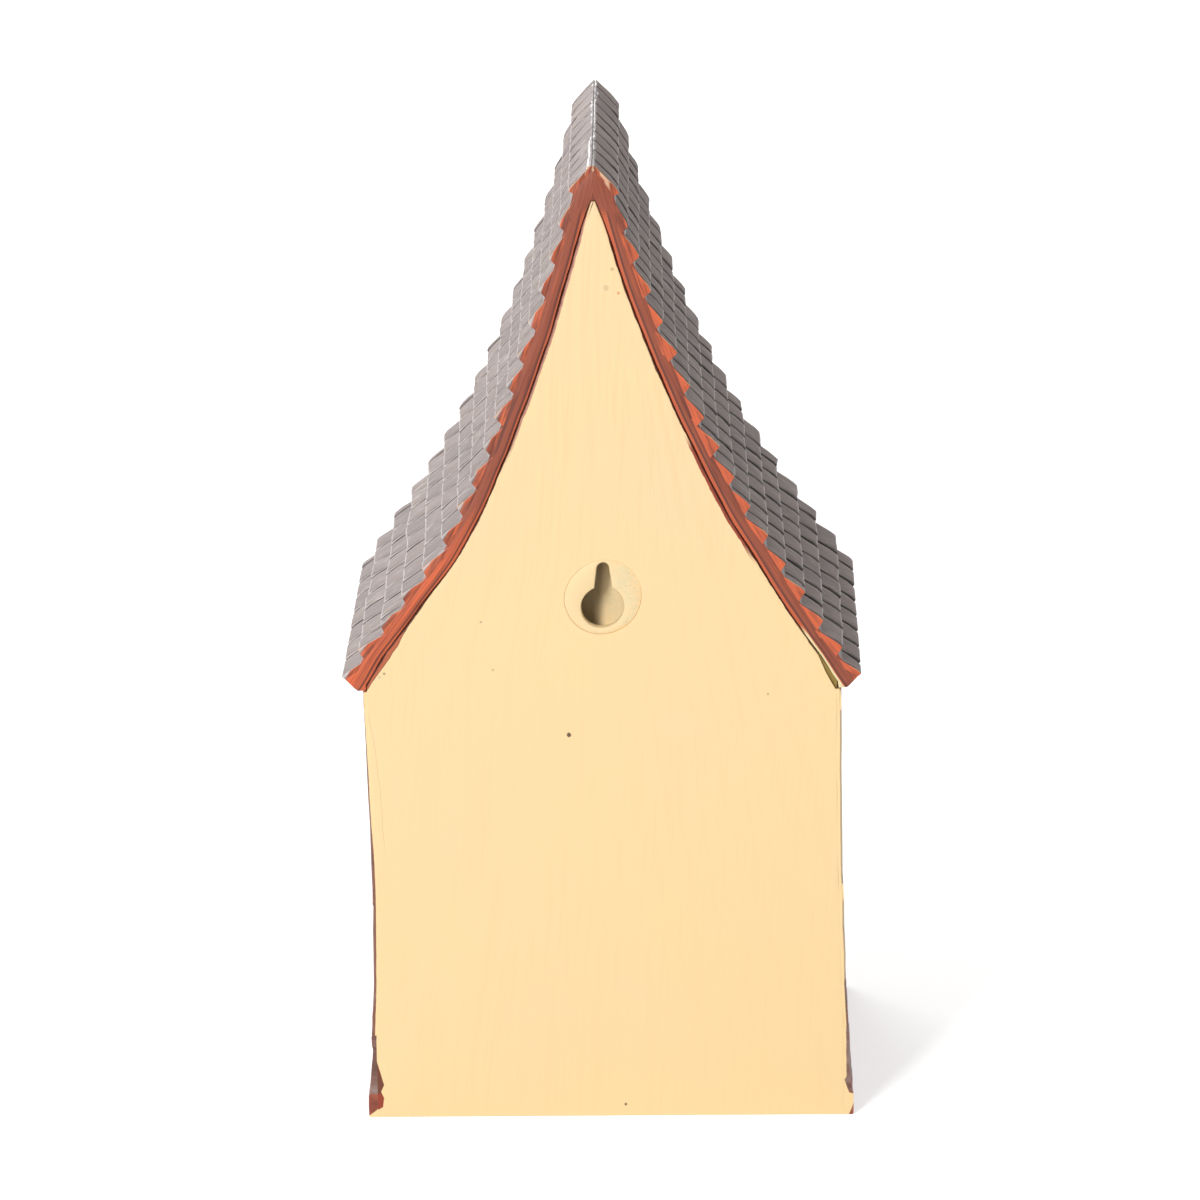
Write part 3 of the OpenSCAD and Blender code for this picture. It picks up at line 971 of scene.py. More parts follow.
@dataclass(frozen=True)
class CastResin(Finish):
    """Polyester resin as it leaves the mould, washed thinly with cream: chalky, with small pores. Deep in the cup's
    hollow it is painted darker on the left, as painted shade.
    """

    base: str = "#eed9ab"
    wash: str = "#f6d9a6"
    pore: str = "#8c7454"
    hollow_shade: str = "#75633f"
    back_y: float = 61.0

    def paint(self, tree: Tree, place: Socket) -> tuple[Socket, Socket]:
        """Gives the washed resin with its painted shade, and its grit."""
        x, y = (add_node(tree, "SeparateXYZ", {0: place}, axis) for axis in "XY")
        clouds, grit = strokes(tree, place, (4, 4, 4)), strokes(tree, place, (0.4, 0.4, 0.4))
        outer = mask(tree, (y, self.back_y - 1.2, self.back_y - 0.7))
        # Paler on the outer face than in the hollow, and paler towards +X.
        washed = weighed(tree, (clouds, 1.0), (outer, 0.16), (x, 0.02))
        colour = add_node(tree, "ValToRGB", {0: washed}, stops=((0.44, self.base), (0.62, self.wash)))
        pores = mask(tree, (grit, 0.42, 0.3), (x, 2, -6), 0.35)
        # Painted shade: darker deep in the hollow on its left (+X), where the keyhole's rim shades it from the light.
        deep = mask(tree, (y, self.back_y - 1.6, self.back_y - 3.2), (x, -1.5, 1.5), 0.8)
        return painted(tree, colour, [(pores, self.pore), (deep, self.hollow_shade)]), grit


@dataclass(frozen=True)
class ZincPlate(Finish):
    """Zinc plated steel of small screws: bright and cold, with a faint turned grain."""

    base: str = "#b9bcc0"
    dull: str = "#8e9296"

    def paint(self, tree: Tree, place: Socket) -> tuple[Socket, Socket]:
        """Gives the plating and its grain."""
        stops = ((0.35, self.dull), (0.6, self.base))
        colour = add_node(tree, "ValToRGB", {0: strokes(tree, place, (1.5, 1.5, 1.5))}, stops=stops)
        return colour, strokes(tree, place, (0.4, 0.4, 0.1))


@dataclass
class TiledRoof:
    """Two hollow slopes of thick tiles between red bargeboards, with a worn ridge."""

    curve: RoofCurve
    half_depth: float
    red: RedOxidePaint
    slate: SlatePaint
    white: SlatePaint
    slot: str = "painted_tiles"
    steps: int = 64
    tile_w: float = 13.0
    low_tile_w: float = 16.5
    joint: float = 1.9
    board_proud: float = 0.35
    board_edge: float = 0.9
    shifts: dict[Side, float] = field(default_factory=lambda: {Side.LEFT: 0.3, Side.RIGHT: 0.75})
    dice: random.Random = field(default_factory=lambda: random.Random(SEED))

    def build(self) -> None:
        """Builds the shell, both slopes of tiles and the ridge, and dresses them."""
        settle(self._shell(), self.red, self.slot, "roof")
        masters = self._master_tiles()
        for side in Side:
            settle(self._slope(side, masters), self.slate, self.slot, "roof", crease=50)
        for master in masters.values():
            bpy.data.objects.remove(master)
        settle(self._ridge(), self.white, self.slot, "roof")

    def _stations(self) -> list[tuple[Point, Point]]:
        """Outer and inner point of the shell's section, from the ridge to the foot."""
        curve = self.curve
        apex = curve.tip_z + curve.seam
        top = (curve.rise(0) + curve.ridge_in) / (curve.course - curve.butt + curve.ridge_back)
        made = [((0.0, curve.ridge_z - 1.6), (0.0, apex))]
        last = (curve.courses - 1) * curve.course + 4
        for step in range(self.steps + 1):
            s = 0.4 + (last - 0.4) * step / self.steps
            inner = curve.on_arc(curve.soffit_r, curve.deck_top + s / curve.deck_r)
            outer = curve.at(s, min(-0.2, top * (s + curve.ridge_back) - curve.ridge_in - 0.8))
            under = (curve.pinched(*inner), inner[1]) if inner[1] < apex else (min(0.7, step * 0.25), apex)
            made.append((outer, under))
        tip = curve.at(curve.courses * curve.course - curve.butt, curve.tile_rise)
        foot_x = curve.side_x + curve.seam
        soffit = curve.on_arc(curve.soffit_r, curve.angle_at_x(curve.soffit_r, foot_x))
        made.append(((tip[0] - 0.5, tip[1] - 0.4), soffit))
        made.append(((tip[0] - curve.foot_cut + 0.5, curve.foot_z + 0.8), (foot_x, curve.foot_z + 1.2)))
        made.append(((tip[0] - curve.foot_cut - 0.4, curve.foot_z), (foot_x + 0.3, curve.foot_z)))
        return made

    def _shell(self) -> Object:
        """Makes the bargeboards, the deck and the soffit."""
        stations = self._stations()
        last = len(stations) - 1
        start_y = -self.half_depth + self.board_proud
        shell = start("bargeboards", bpy.ops.mesh.primitive_grid_add, x_subdivisions=last, y_subdivisions=1, size=2)

        def in_section(co: Vector) -> Vector:
            x, z = stations[round((co.x + 1) / 2 * last)][0 if co.y > 0 else 1]
            return Vector((x, start_y, z))

        lay(shell, in_section)
        with editing(shell):
            bpy.ops.mesh.select_all(action="SELECT")
            length = -2 * start_y
            bpy.ops.mesh.extrude_region_move(TRANSFORM_OT_translate={"value": (0, length, 0)})
            pick("faces", lambda face: all(abs(vert.co.x) < 0.01 for vert in face.verts))
            bpy.ops.mesh.delete(type="FACE")
            pick("edges", lambda edge: abs(edge.verts[0].co.y - edge.verts[1].co.y) > 1)
            bpy.ops.mesh.subdivide(number_cuts=14)
        apply_modifier(shell, "MIRROR", use_axis=(True, False, False), merge_threshold=0.01)
        with editing(shell):
            bpy.ops.mesh.select_all(action="SELECT")
            bpy.ops.mesh.remove_doubles(threshold=0.01)
            bpy.ops.mesh.normals_make_consistent(inside=False)
            pick("faces", lambda face: abs(face.normal.y) > 0.9)
            bpy.ops.mesh.inset(thickness=self.board_edge, depth=self.board_proud, use_even_offset=True)

        def uneven(co: Vector) -> Vector:
            calm = 1.0 if co.z < self.curve.ridge_z - 12 else 0.3
            sway = Vector((ripple(co, 14, 0.3), 0, ripple(co, 12, 0.3, 4.0))) * calm
            sway += Vector((ripple(co, 3.5, 0.14, 9.0), 0, ripple(co, 3.0, 0.14, 2.0))) * calm
            dent = abs(ripple(co, 9, 0.25, 6.0)) if abs(co.y) > self.half_depth - 1 else 0.0
            return co + sway - Vector((0, math.copysign(dent, co.y), 0))

        lay(shell, uneven)
        return shell

    def _master_tiles(self) -> dict[TileWear, Object]:
        """Models one tile of each wear, in shares of its width, length and thickness."""
        made = {}
        for wear in TileWear:
            tile = start(
                "tile_" + wear.value, bpy.ops.mesh.primitive_grid_add, x_subdivisions=4, y_subdivisions=5, size=2
            )
            with editing(tile):
                bpy.ops.mesh.select_all(action="SELECT")
                bpy.ops.mesh.extrude_region_move(TRANSFORM_OT_translate={"value": (0, 0, 1)})
                bpy.ops.mesh.select_all(action="SELECT")
                bpy.ops.mesh.normals_make_consistent(inside=False)
                if wear is TileWear.ROUNDED:
                    pick("edges", self._is_lower_corner)
                    bpy.ops.mesh.bevel(offset=0.16, segments=2, affect="EDGES")
                if wear is TileWear.SLANTED:
                    pick("verts", lambda vert: vert.co.y > 0.9)
                    bpy.ops.transform.rotate(value=0.06, orient_axis="Z", center_override=(-1, 1, 0))
                pick("edges", self._is_rim)
                bpy.ops.mesh.bevel(offset=0.08, segments=1, affect="EDGES")
            made[wear] = tile
        return made

    @staticmethod
    def _is_rim(edge: bmesh.types.BMEdge) -> bool:
        """Says whether an edge runs round the top of a tile."""
        tops = all(vert.co.z > 0.99 for vert in edge.verts)
        sides = sum(face.normal.z > 0.9 for face in edge.link_faces)
        return tops and sides == 1

    @staticmethod
    def _is_lower_corner(edge: bmesh.types.BMEdge) -> bool:
        """Says whether an edge stands at a lower corner of a tile."""
        one, two = (vert.co for vert in edge.verts)
        return abs(one.z - two.z) > 0.5 and min(one.y, two.y) > 0.99 and min(abs(one.x), abs(two.x)) > 0.99

    def _joints(self, row: int, side: Side) -> list[float]:
        """Ends and joints of a course along the roof, from its front to its back."""
        found = [-self.half_depth]
        tile_w = self.tile_w + (self.low_tile_w - self.tile_w) * row / (self.curve.courses - 1)
        for number in range(int(2 * self.half_depth / tile_w) + 1):
            y = -self.half_depth + tile_w * (number + self.shifts[side] + (row % 2) / 2)
            if abs(y) < self.half_depth - tile_w / 4:
                found.append(y + self.dice.uniform(-0.5, 0.5))
        return [*found, self.half_depth]

    def _slope(self, side: Side, masters: dict[TileWear, Object]) -> Object:
        """Lays all the tiles of one slope.

        Args:
            side: Which slope.
            masters: The modelled tiles.

        Returns:
            The joined tiles.
        """
        tiles = []
        for row in range(self.curve.courses):
            joints = self._joints(row, side)
            for low, high in zip(joints, joints[1:]):
                wear = self.dice.choices(list(TileWear), (6, 1, 3))[0]
                tile = copy_of(masters[wear], f"tile_{row}")
                self._lay_tile(tile, row, low, high, side)
                tiles.append(tile)
        return join(tiles, f"tiles_{side.name.lower()}")

    def _lay_tile(self, tile: Object, row: int, low: float, high: float, side: Side) -> None:
        """Lays one tile on the deck and notes each vertex's place on it.

        Args:
            tile: The copy to lay.
            row: Its course, from the ridge down.
            low: Where it begins along the roof.
            high: Where it ends.
            side: Its slope.
        """
        curve, dice = self.curve, self.dice
        own = dice.random()
        last = row == curve.courses - 1
        root = (-curve.ridge_back, -curve.ridge_in) if row == 0 else (row * curve.course - 0.8, -1.1)
        lip_s = (row + 1) * curve.course - curve.butt
        spread = 0.0 if last else 1.0
        push, slant = dice.uniform(-0.2, 0.2) * spread, dice.uniform(-0.15, 0.15) * spread
        lift, twist = dice.uniform(-0.12, 0.12), dice.uniform(-0.1, 0.1)
        inset = dice.uniform(0.0, 0.35)
        notes = []

        def on_deck(co: Vector) -> Vector:
            down = 1 - (1 - (co.y + 1) / 2) ** 1.7
            gap = self.joint * (0.22 + 0.34 * down)
            first = low + (gap if abs(low) < self.half_depth else inset)
            final = high - (gap if abs(high) < self.half_depth else inset)
            y = first + (final - first) * (co.x + 1) / 2
            wave = ripple(Vector((y, row * 31.0, side.value * 50.0)), 24, 0.9) * spread * down
            s_top = root[0] + (lip_s - root[0]) * down + (push + slant * co.x) * down + wave
            worn = max(0.0, down - 0.72) / 0.28
            crown = 0.2 * math.sin(math.pi * down) - 0.3 * worn**2
            h_top = root[1] + (curve.rise(row) + 0.35 - root[1]) * down + (lift + twist * co.x) * down + crown
            s_low = s_top + curve.butt * down * (0.0 if last else 1.0)
            h_low = min(-0.6, root[1] - 0.5)
            s = s_low + (s_top - s_low) * co.z
            h = h_low + (h_top - h_low) * co.z
            point = Vector((y, s, h))
            s += ripple(point, 2.6, 0.24, own * 40) * spread
            h += ripple(point, 3.2, 0.16, own * 90)
            y += ripple(point, 2.8, 0.14, own * 70) * (1 if abs(y) < self.half_depth - 1 else 0)
            notes.append((co.x, down if co.z > 0.99 else 1.05 + 0.6 * (1 - co.z), own))
            x, z = curve.at(s, h)
            return Vector((side.value * min(max(x, 0.2), curve.eave_x - 0.02), y, min(z, curve.ridge_z - 0.05)))

        lay(tile, on_deck)
        note_points(tile, self.slate.attribute, notes)

    def _ridge(self) -> Object:
        """Makes the worn strip that closes the ridge, which widens towards the back."""
        section = ((-1.3, -2.6), (-0.9, -0.35), (-0.6, -0.02), (0.0, -0.14), (0.6, -0.1), (0.95, -0.6), (1.3, -2.6))
        notes = []

        def along(index: int, share: float) -> Vector:
            out, drop = section[index]
            y = (share * 2 - 1) * (self.half_depth - 0.3)
            spot = Vector((out, y, 0))
            breadth = 0.95 + 0.4 * max(0.0, share - 0.65) / 0.35 + ripple(Vector((0, y, 0)), 4, 0.3, 8.0)
            sway = ripple(Vector((0, y, 0)), 15, 0.5, 3.0) + 0.3 * share
            sink = abs(ripple(spot, 1.5, 0.7, 5.0)) if abs(out) < 1.5 else 0.0
            flat = abs(out) < 0.3 and share > 0.68
            notes.append((0.0, 0.6 if flat else 1.0, 0.0 if flat else 1.0))
            return Vector((sway + out * breadth, y, self.curve.ridge_z - 0.02 + drop - sink))

        ridge = swept_bar("ridge_strip", len(section), 120, along)
        note_points(ridge, self.slate.attribute, notes)
        return ridge


@dataclass
class CreamWalls:
    """The cast wall shell: both gables, the side walls, the entrance and the seat of the hanger."""

    curve: RoofCurve
    cream: CreamPaint
    back_y: float
    front_y: float
    wall_t: float = 6.0
    steps: int = 26
    chamfer: float = 0.7
    soft: float = 0.2
    entrance_d: float = 32.0
    entrance_h: float = 102.0
    hanger_h: float = 167.0
    hanger_seat: float = 11.73
    shoulder_seat: float = 13.85
    shoulder_y: float = 1.5
    block_w: float = 13.0
    block_h: float = 20.0
    block_in: float = 0.3
    floor_top: float = 7.0
    slot: str = "painted_render"

    def build(self) -> Object:
        """Builds the walls and dresses them."""
        walls = self._prism()
        cut(walls, self._cavity())
        cut(walls, self._bore("entrance_cutter", self.entrance_d / 2, self.entrance_h, self.front_y, 8))
        cut(walls, self._bore("seat_cutter", self.hanger_seat, self.hanger_h, self.back_y, 16))
        behind = self.back_y - self.shoulder_y - 8
        cut(walls, self._bore("shoulder_cutter", self.shoulder_seat, self.hanger_h, behind, 8))
        cut(walls, self._flaw())
        self._round_entrance(walls)
        self._slice(walls)
        walls = join([walls, *(self._block(side, middle_y) for side in Side for middle_y in self._block_rows())], "walls")
        walls = settle(walls, self.cream, self.slot, "body")
        # The soft edges would otherwise tint the whole flat face beside them
        apply_modifier(walls, "WEIGHTED_NORMAL", keep_sharp=True)
        return walls

    def _slice(self, walls: Object) -> None:
        """Cuts the tall faces across at the levels of the lean, so that the walls bow as their timbers do."""
        with editing(walls):
            for level in Lean().levels:
                if level[0] < self.curve.wall_h:
                    bpy.ops.mesh.select_all(action="SELECT")
                    bpy.ops.mesh.bisect(plane_co=(0, 0, level[0]), plane_no=(0, 0, 1))

    def _block_rows(self) -> tuple[float, float]:
        """Gives where the screw blocks stand along Y."""
        inset = self.wall_t + self.block_w / 2 - self.block_in
        return self.front_y + inset, self.back_y - inset

    def _block(self, side: Side, middle_y: float) -> Object:
        """Makes one block in a corner of the walls, which a screw of the floor goes into."""
        middle_x = side.value * (self.curve.side_x - self.wall_t - self.block_w / 2 + self.block_in)
        block = start("screw_block", bpy.ops.mesh.primitive_cube_add, size=1)
        size = Vector((self.block_w, self.block_w, self.block_h))
        middle = Vector((middle_x, middle_y, self.floor_top + self.block_h / 2))
        lay(block, lambda co: middle + Vector((co.x * size.x, co.y * size.y, co.z * size.z)))
        return block

    def _prism(self) -> Object:
        """Makes the solid outline of the walls, with its edges softened."""
        curve = self.curve
        low, high = curve.angle_at_x(curve.gable_r, curve.side_x), curve.angle_at_z(curve.gable_r, curve.tip_z)
        arc = [curve.on_arc(curve.gable_r, low + (high - low) * i / self.steps) for i in range(self.steps + 1)]
        levels = [(curve.side_x, 0.0), *((curve.pinched(x, z), z) for x, z in arc)]
        last = len(levels) - 1
        walls = start("walls", bpy.ops.mesh.primitive_grid_add, x_subdivisions=1, y_subdivisions=last, size=2)

        def in_outline(co: Vector) -> Vector:
            x, z = levels[round((co.y + 1) / 2 * last)]
            return Vector((math.copysign(x, co.x), self.back_y, z))

        lay(walls, in_outline)
        with editing(walls):
            bpy.ops.mesh.select_all(action="SELECT")
            depth = self.front_y - self.back_y
            bpy.ops.mesh.extrude_region_move(TRANSFORM_OT_translate={"value": (0, depth, 0)})
            bpy.ops.mesh.select_all(action="SELECT")
            bpy.ops.mesh.normals_make_consistent(inside=False)
            pick("edges", self._is_back_gable)
            bpy.ops.mesh.bevel(offset=self.chamfer, segments=2, affect="EDGES")
            pick("edges", self._is_corner)
            bpy.ops.mesh.bevel(offset=self.soft, segments=3, affect="EDGES")
        return walls

    def _is_back_gable(self, edge: bmesh.types.BMEdge) -> bool:
        """Says whether an edge runs along the back gable."""
        one, two = (vert.co for vert in edge.verts)
        at_back = min(one.y, two.y) > self.back_y - 0.01
        return at_back and min(one.z, two.z) > self.curve.wall_h - 0.1 and one.x * two.x > 0

    def _is_corner(self, edge: bmesh.types.BMEdge) -> bool:
        """Says whether an edge is an upright corner or runs round the foot."""
        one, two = (vert.co for vert in edge.verts)
        upright = abs(one.z - two.z) > self.curve.wall_h / 2 and abs(one.x) > self.curve.side_x - 0.1
        foot = max(one.z, two.z) < 0.01
        return upright or foot

    def _cavity(self) -> Object:
        """Makes the block that hollows the walls, open below and closed by the roof above."""
        half = self.curve.side_x - self.wall_t
        depth = self.back_y - self.front_y - 2 * self.wall_t
        block = start("cavity_cutter", bpy.ops.mesh.primitive_cube_add, size=1)
        middle = Vector((0, (self.back_y + self.front_y) / 2, self.curve.ridge_z / 2 - 1))
        size = Vector((2 * half, depth, self.curve.ridge_z + 2))
        lay(block, lambda co: middle + Vector((co.x * size.x, co.y * size.y, co.z * size.z)))
        return block

    def _bore(self, name: str, radius: float, height: float, middle_y: float, length: float) -> Object:
        """Makes a round cutter along Y."""
        turn = (math.pi / 2, 0, 0)
        bore = start(
            name, bpy.ops.mesh.primitive_cylinder_add, vertices=72, radius=radius, depth=2 * length, rotation=turn
        )
        bore.location = (0, middle_y, height)
        bpy.ops.object.transform_apply(location=True, rotation=True, scale=True)
        return bore

    def _flaw(self) -> Object:
        """Makes the wedge that is missing from the panel's edge above the right eave."""
        edge = ((-62.0, 157.0), (-64.9, 148.8), (-68.0, 143.2), (-71.7, 137.2))
        beyond = ((-61.4, 158.5), (-67.5, 152.0), (-72.8, 145.5), (-76.0, 139.6))

        def corner(index: int, share: float) -> Vector:
            step = round(share * (len(edge) - 1))
            x, z = (edge if index in (0, 1) else beyond)[step]
            deep = self.back_y - (0.35 + 1.3 * share)
            y = deep if index in (0, 3) else self.back_y + 2
            return Vector((x + ripple(Vector((x, y, z)), 2, 0.3), y, z))

        return swept_bar("flaw_cutter", 4, len(edge), corner)

    def _round_entrance(self, walls: Object) -> None:
        """Rounds the rim of the entrance hole."""

        def on_rim(edge: bmesh.types.BMEdge) -> bool:
            return all(
                abs(math.hypot(vert.co.x, vert.co.z - self.entrance_h) - self.entrance_d / 2) < 0.05
                and abs(vert.co.y - self.front_y) < 0.05
                for vert in edge.verts
            )

        with editing(walls):
            pick("edges", on_rim)
            bpy.ops.mesh.bevel(offset=1.0, segments=3, affect="EDGES")


@dataclass(frozen=True)
class Beam:
    """One straight timber between two points of a wall, in millimetres."""

    a: Point
    b: Point
    width: float
    lift: float


@dataclass
class TimberFrame:
    """The carved frame on the front and both sides: posts, rails, braces and crosses."""

    curve: RoofCurve
    brown: BrownPaint
    back_y: float
    front_y: float
    post_w: float = 9.0
    timber_w: float = 7.0
    out: float = 1.5
    stud_x: float = 28.0
    rail_z: float = 72.0
    collar_z: float = 196.0
    plinth_h: float = 30.0
    post_z: float = 26.8
    slot: str = "painted_render"
    rings: int = 14

    def build(self) -> None:
        """Builds the front frame and both side frames, and dresses them."""
        master = self._master_beam()
        front = [self._lay_front(master, beam, number) for number, beam in enumerate(self._front_beams())]
        front += [self._rafter(side) for side in Side]
        settle(join(front, "timber_front"), self.brown, self.slot, "body")
        for side in Side:
            beams = [self._lay_side(master, beam, side, number) for number, beam in enumerate(self._side_beams())]
            settle(join(beams, f"timber_{side.name.lower()}"), self.brown, self.slot, "body")
        bpy.data.objects.remove(master)

    def _front_beams(self) -> list[Beam]:
        """Timbers of the front, in X and Z."""
        side_x, thin = self.curve.side_x, self.timber_w * 0.8
        sill, tie = self.plinth_h + self.timber_w / 2, self.curve.wall_h - self.timber_w / 2
        inner = side_x - self.post_w
        reach = self.curve.gable_x(self.collar_z) - 2
        beams = []
        for sign in (-1, 1):
            stud, post = sign * self.stud_x, sign * inner
            beams += [
                Beam((stud, sill), (post, self.rail_z), thin, 0.7),
                Beam((stud, self.rail_z), (post, sill), thin, 0.8),
                Beam((post, self.rail_z), (stud, tie), self.timber_w, 0.82),
                Beam((post, tie), (sign * 3, self.collar_z), thin, 0.8),
                Beam((stud, self.plinth_h), (stud, tie), self.timber_w, 0.9),
            ]
        beams += [
            Beam((0, tie), (0, self.curve.tip_z - 14), self.timber_w, 0.85),
            Beam((-side_x, sill), (side_x, sill), self.timber_w, 0.94),
            Beam((-side_x, self.rail_z), (side_x, self.rail_z), self.timber_w, 0.94),
            Beam((-side_x, tie), (side_x, tie), self.timber_w, 0.96),
            Beam((-reach, self.collar_z), (reach, self.collar_z), self.timber_w, 0.94),
        ]
        corner = side_x - self.post_w / 2
        beams += [Beam((s * corner, self.post_z), (s * corner, self.curve.wall_h - 1), self.post_w, 1.0) for s in (-1, 1)]
        return beams

    def _side_beams(self) -> list[Beam]:
        """Timbers of a side wall, in Y and Z."""
        middle = (self.front_y + self.back_y) / 2
        sill, top = self.plinth_h + self.timber_w / 2, self.curve.foot_z - 0.4 - self.timber_w / 2
        thin = self.timber_w * 0.8
        near, far = self.front_y + self.post_w, self.back_y - self.post_w
        beams = [
            Beam((near, sill), (middle, self.rail_z), thin, 0.7),
            Beam((near, self.rail_z), (middle, sill), thin, 0.8),
            Beam((middle, sill), (far, self.rail_z), thin, 0.7),
            Beam((middle, self.rail_z), (far, sill), thin, 0.8),
            Beam((near, self.rail_z), (middle, top), self.timber_w, 0.82),
            Beam((far, self.rail_z), (middle, top), self.timber_w, 0.82),
            Beam((middle, self.plinth_h), (middle, top), self.timber_w, 0.9),
        ]
        beams += [Beam((self.front_y, z), (self.back_y - 0.3, z), self.timber_w, 0.94) for z in (sill, self.rail_z, top)]
        posts = (self.front_y - self.out + self.post_w / 2, self.back_y - self.post_w / 2)
        beams += [Beam((y, self.post_z), (y, top + self.timber_w / 2), self.post_w, 1.0) for y in posts]
        return beams

    def _master_beam(self) -> Object:
        """Models one hewn beam, in shares of its width, height and length."""
        section = ((-1, -0.4), (-1, 0.62), (-0.8, 0.95), (-0.3, 1.0), (0.3, 1.0), (0.8, 0.95), (1, 0.62), (1, -0.4))
        return swept_bar(
            "beam", len(section), self.rings, lambda k, share: Vector((section[k][0], share, section[k][1]))
        )

    def _hew(self, beam: Object, shape: Beam, number: int) -> None:
        """Gives a copy its length, width and the marks of the knife, in X, Y along it and Z out of the wall."""
        run = Vector(shape.b) - Vector(shape.a)
        notes = []

        def hewn(co: Vector) -> Vector:
            along, across = co.y * run.length, co.x * shape.width / 2
            spot = Vector((across, along, number * 37.0))
            edge = ripple(spot, 9, 0.55) if abs(co.x) > 0.5 else 0.0
            lift = self.out * shape.lift * co.z + (ripple(spot, 6, 0.28, 5.0) - 0.12 if co.z > 0 else 0.0)
            notes.append((across, number * 7.0, along))
            return Vector((across + edge, along, min(lift, self.out)))

        lay(beam, hewn)
        note_points(beam, self.brown.attribute, notes)

    def _lay_front(self, master: Object, shape: Beam, number: int) -> Object:
        """Lays a beam on the front wall."""
        beam = copy_of(master, f"front_beam_{number}")
        self._hew(beam, shape, number)
        a = Vector(shape.a)
        along = (Vector(shape.b) - a).normalized()
        across = Vector((-along.y, along.x))

        def on_wall(co: Vector) -> Vector:
            flat = a + along * co.y + across * co.x
            limit = self.curve.side_x if flat.y < self.curve.wall_h else self.curve.gable_x(flat.y)
            x = max(-limit, min(limit, flat.x))
            return Vector((x, self.front_y - co.z, flat.y))

        lay(beam, on_wall)
        return beam

    def _lay_side(self, master: Object, shape: Beam, side: Side, number: int) -> Object:
        """Lays a beam on a side wall."""
        beam = copy_of(master, f"side_beam_{number}")
        self._hew(beam, shape, number + 40 * (2 + side.value))
        a = Vector(shape.a)
        along = (Vector(shape.b) - a).normalized()
        across = Vector((-along.y, along.x))

        def on_wall(co: Vector) -> Vector:
            flat = a + along * co.y + across * co.x
            y = max(self.front_y - self.out, min(self.back_y - 0.02, flat.x))
            return Vector((side.value * (self.curve.side_x + co.z), y, flat.y))

        lay(beam, on_wall)
        return beam

    def _rafter(self, side: Side) -> Object:
        """Makes the curved timber under one edge of the front gable."""
        section = ((0, -0.4), (0, 0.7), (0.1, 0.95), (0.35, 1.0), (0.65, 1.0), (0.9, 0.95), (1, 0.7), (1, -0.4))
        curve = self.curve
        low = curve.angle_at_x(curve.gable_r, curve.side_x)
        high = curve.angle_at_z(curve.gable_r, curve.tip_z)
        notes = []

        def along(index: int, share: float) -> Vector:
            across, up = section[index]
            angle = low + (high - low) * share
            wobble = ripple(Vector((across, share * 170, side.value * 9.0)), 9, 0.5) if across > 0.5 else 0.0
            radius = curve.gable_r + 0.15 + across * self.timber_w + wobble
            x, z = curve.on_arc(radius, angle)
            lift = self.out * up * 0.97 + (ripple(Vector((x, 0, z)), 6, 0.25) - 0.1 if up > 0 else 0.0)
            notes.append((across * self.timber_w, side.value * 13.0, share * 170))
            return Vector((side.value * max(x, 0), self.front_y - min(lift, self.out), z))

        rafter = swept_bar(f"rafter_{side.name.lower()}", len(section), 40, along)
        note_points(rafter, self.brown.attribute, notes)
        return rafter


@dataclass
class Plinth:
    """The cast foot round the front and the sides: red-brown base band, flared skirt and roll."""

    side_x: float
    front_y: float
    back_y: float
    brown: PlinthPaint
    red: PlinthPaint
    slot: str = "painted_render"
    band: tuple[Point, ...] = ((0, -0.6), (0.0, 2.3), (0.5, 2.7), (3.5, 2.8), (6.9, 2.75), (7.5, 2.3), (7.6, -0.6))
    skirt: tuple[Point, ...] = (
        (7.3, -0.6), (7.3, 2.3), (9, 2.2), (14, 1.8), (19, 1.35), (21.8, 1.1), (22.6, 1.2), (23.4, 1.5),
        (24.8, 1.62), (26.4, 1.6), (27.8, 1.25), (29.3, 0.3), (30, -0.6),
    )
    spacing: float = 4.0

    def build(self) -> None:
        """Builds the band and the skirt, and dresses them."""
        settle(self._course("base_band", self.band, 2.8, 0.03), self.red, self.slot, "body")
        settle(self._course("plinth_skirt", self.skirt, 2.6, 0.07), self.brown, self.slot, "body")

    def _path(self) -> list[tuple[float, float, float, float]]:
        """Stations round the house from the back left to the back right: place, and the way out."""
        side_steps = round((self.back_y - self.front_y) / self.spacing)
        front_steps = round(2 * self.side_x / self.spacing)
        depth = self.back_y - self.front_y
        left = [(self.side_x, self.back_y - depth * i / side_steps, 1.0, 0.0) for i in range(side_steps)]
        front = [
            (self.side_x - 2 * self.side_x * i / front_steps, self.front_y, 0.0, -1.0)
            for i in range(1, front_steps)
        ]
        corners = [(self.side_x, self.front_y, 1.0, -1.0), (-self.side_x, self.front_y, -1.0, -1.0)]
        right = [(-x, y, -out_x, out_y) for x, y, out_x, out_y in reversed(left)]
        return [*left, corners[0], *front, corners[1], *right]

    def _course(self, name: str, profile: Sequence[Point], limit: float, short: float) -> Object:
        """Sweeps a profile round the house.

        Args:
            name: Name of the piece.
            profile: Heights and how far the piece stands out there.
            limit: The furthest that it may stand out.
            short: How far its ends stay inside the back wall, so that no two ends share a plane.

        Returns:
            The swept piece.
        """
        path = self._path()

        def along(index: int, share: float) -> Vector:
            x, y, out_x, out_y = path[round(share * (len(path) - 1))]
            z, out = profile[index]
            spot = Vector((x, y, z))
            if out > 0:
                out = min(limit, max(0.05, out + ripple(spot, 11, 0.4) + ripple(spot, 4, 0.18, 6.0)))
                z = max(0.0, z + (ripple(spot, 9, 0.35, 3.0) if z > 0.6 else 0.0))
            return Vector((x + out_x * out, min(y + out_y * out, self.back_y - short), z))

        return swept_bar(name, len(profile), len(path), along)


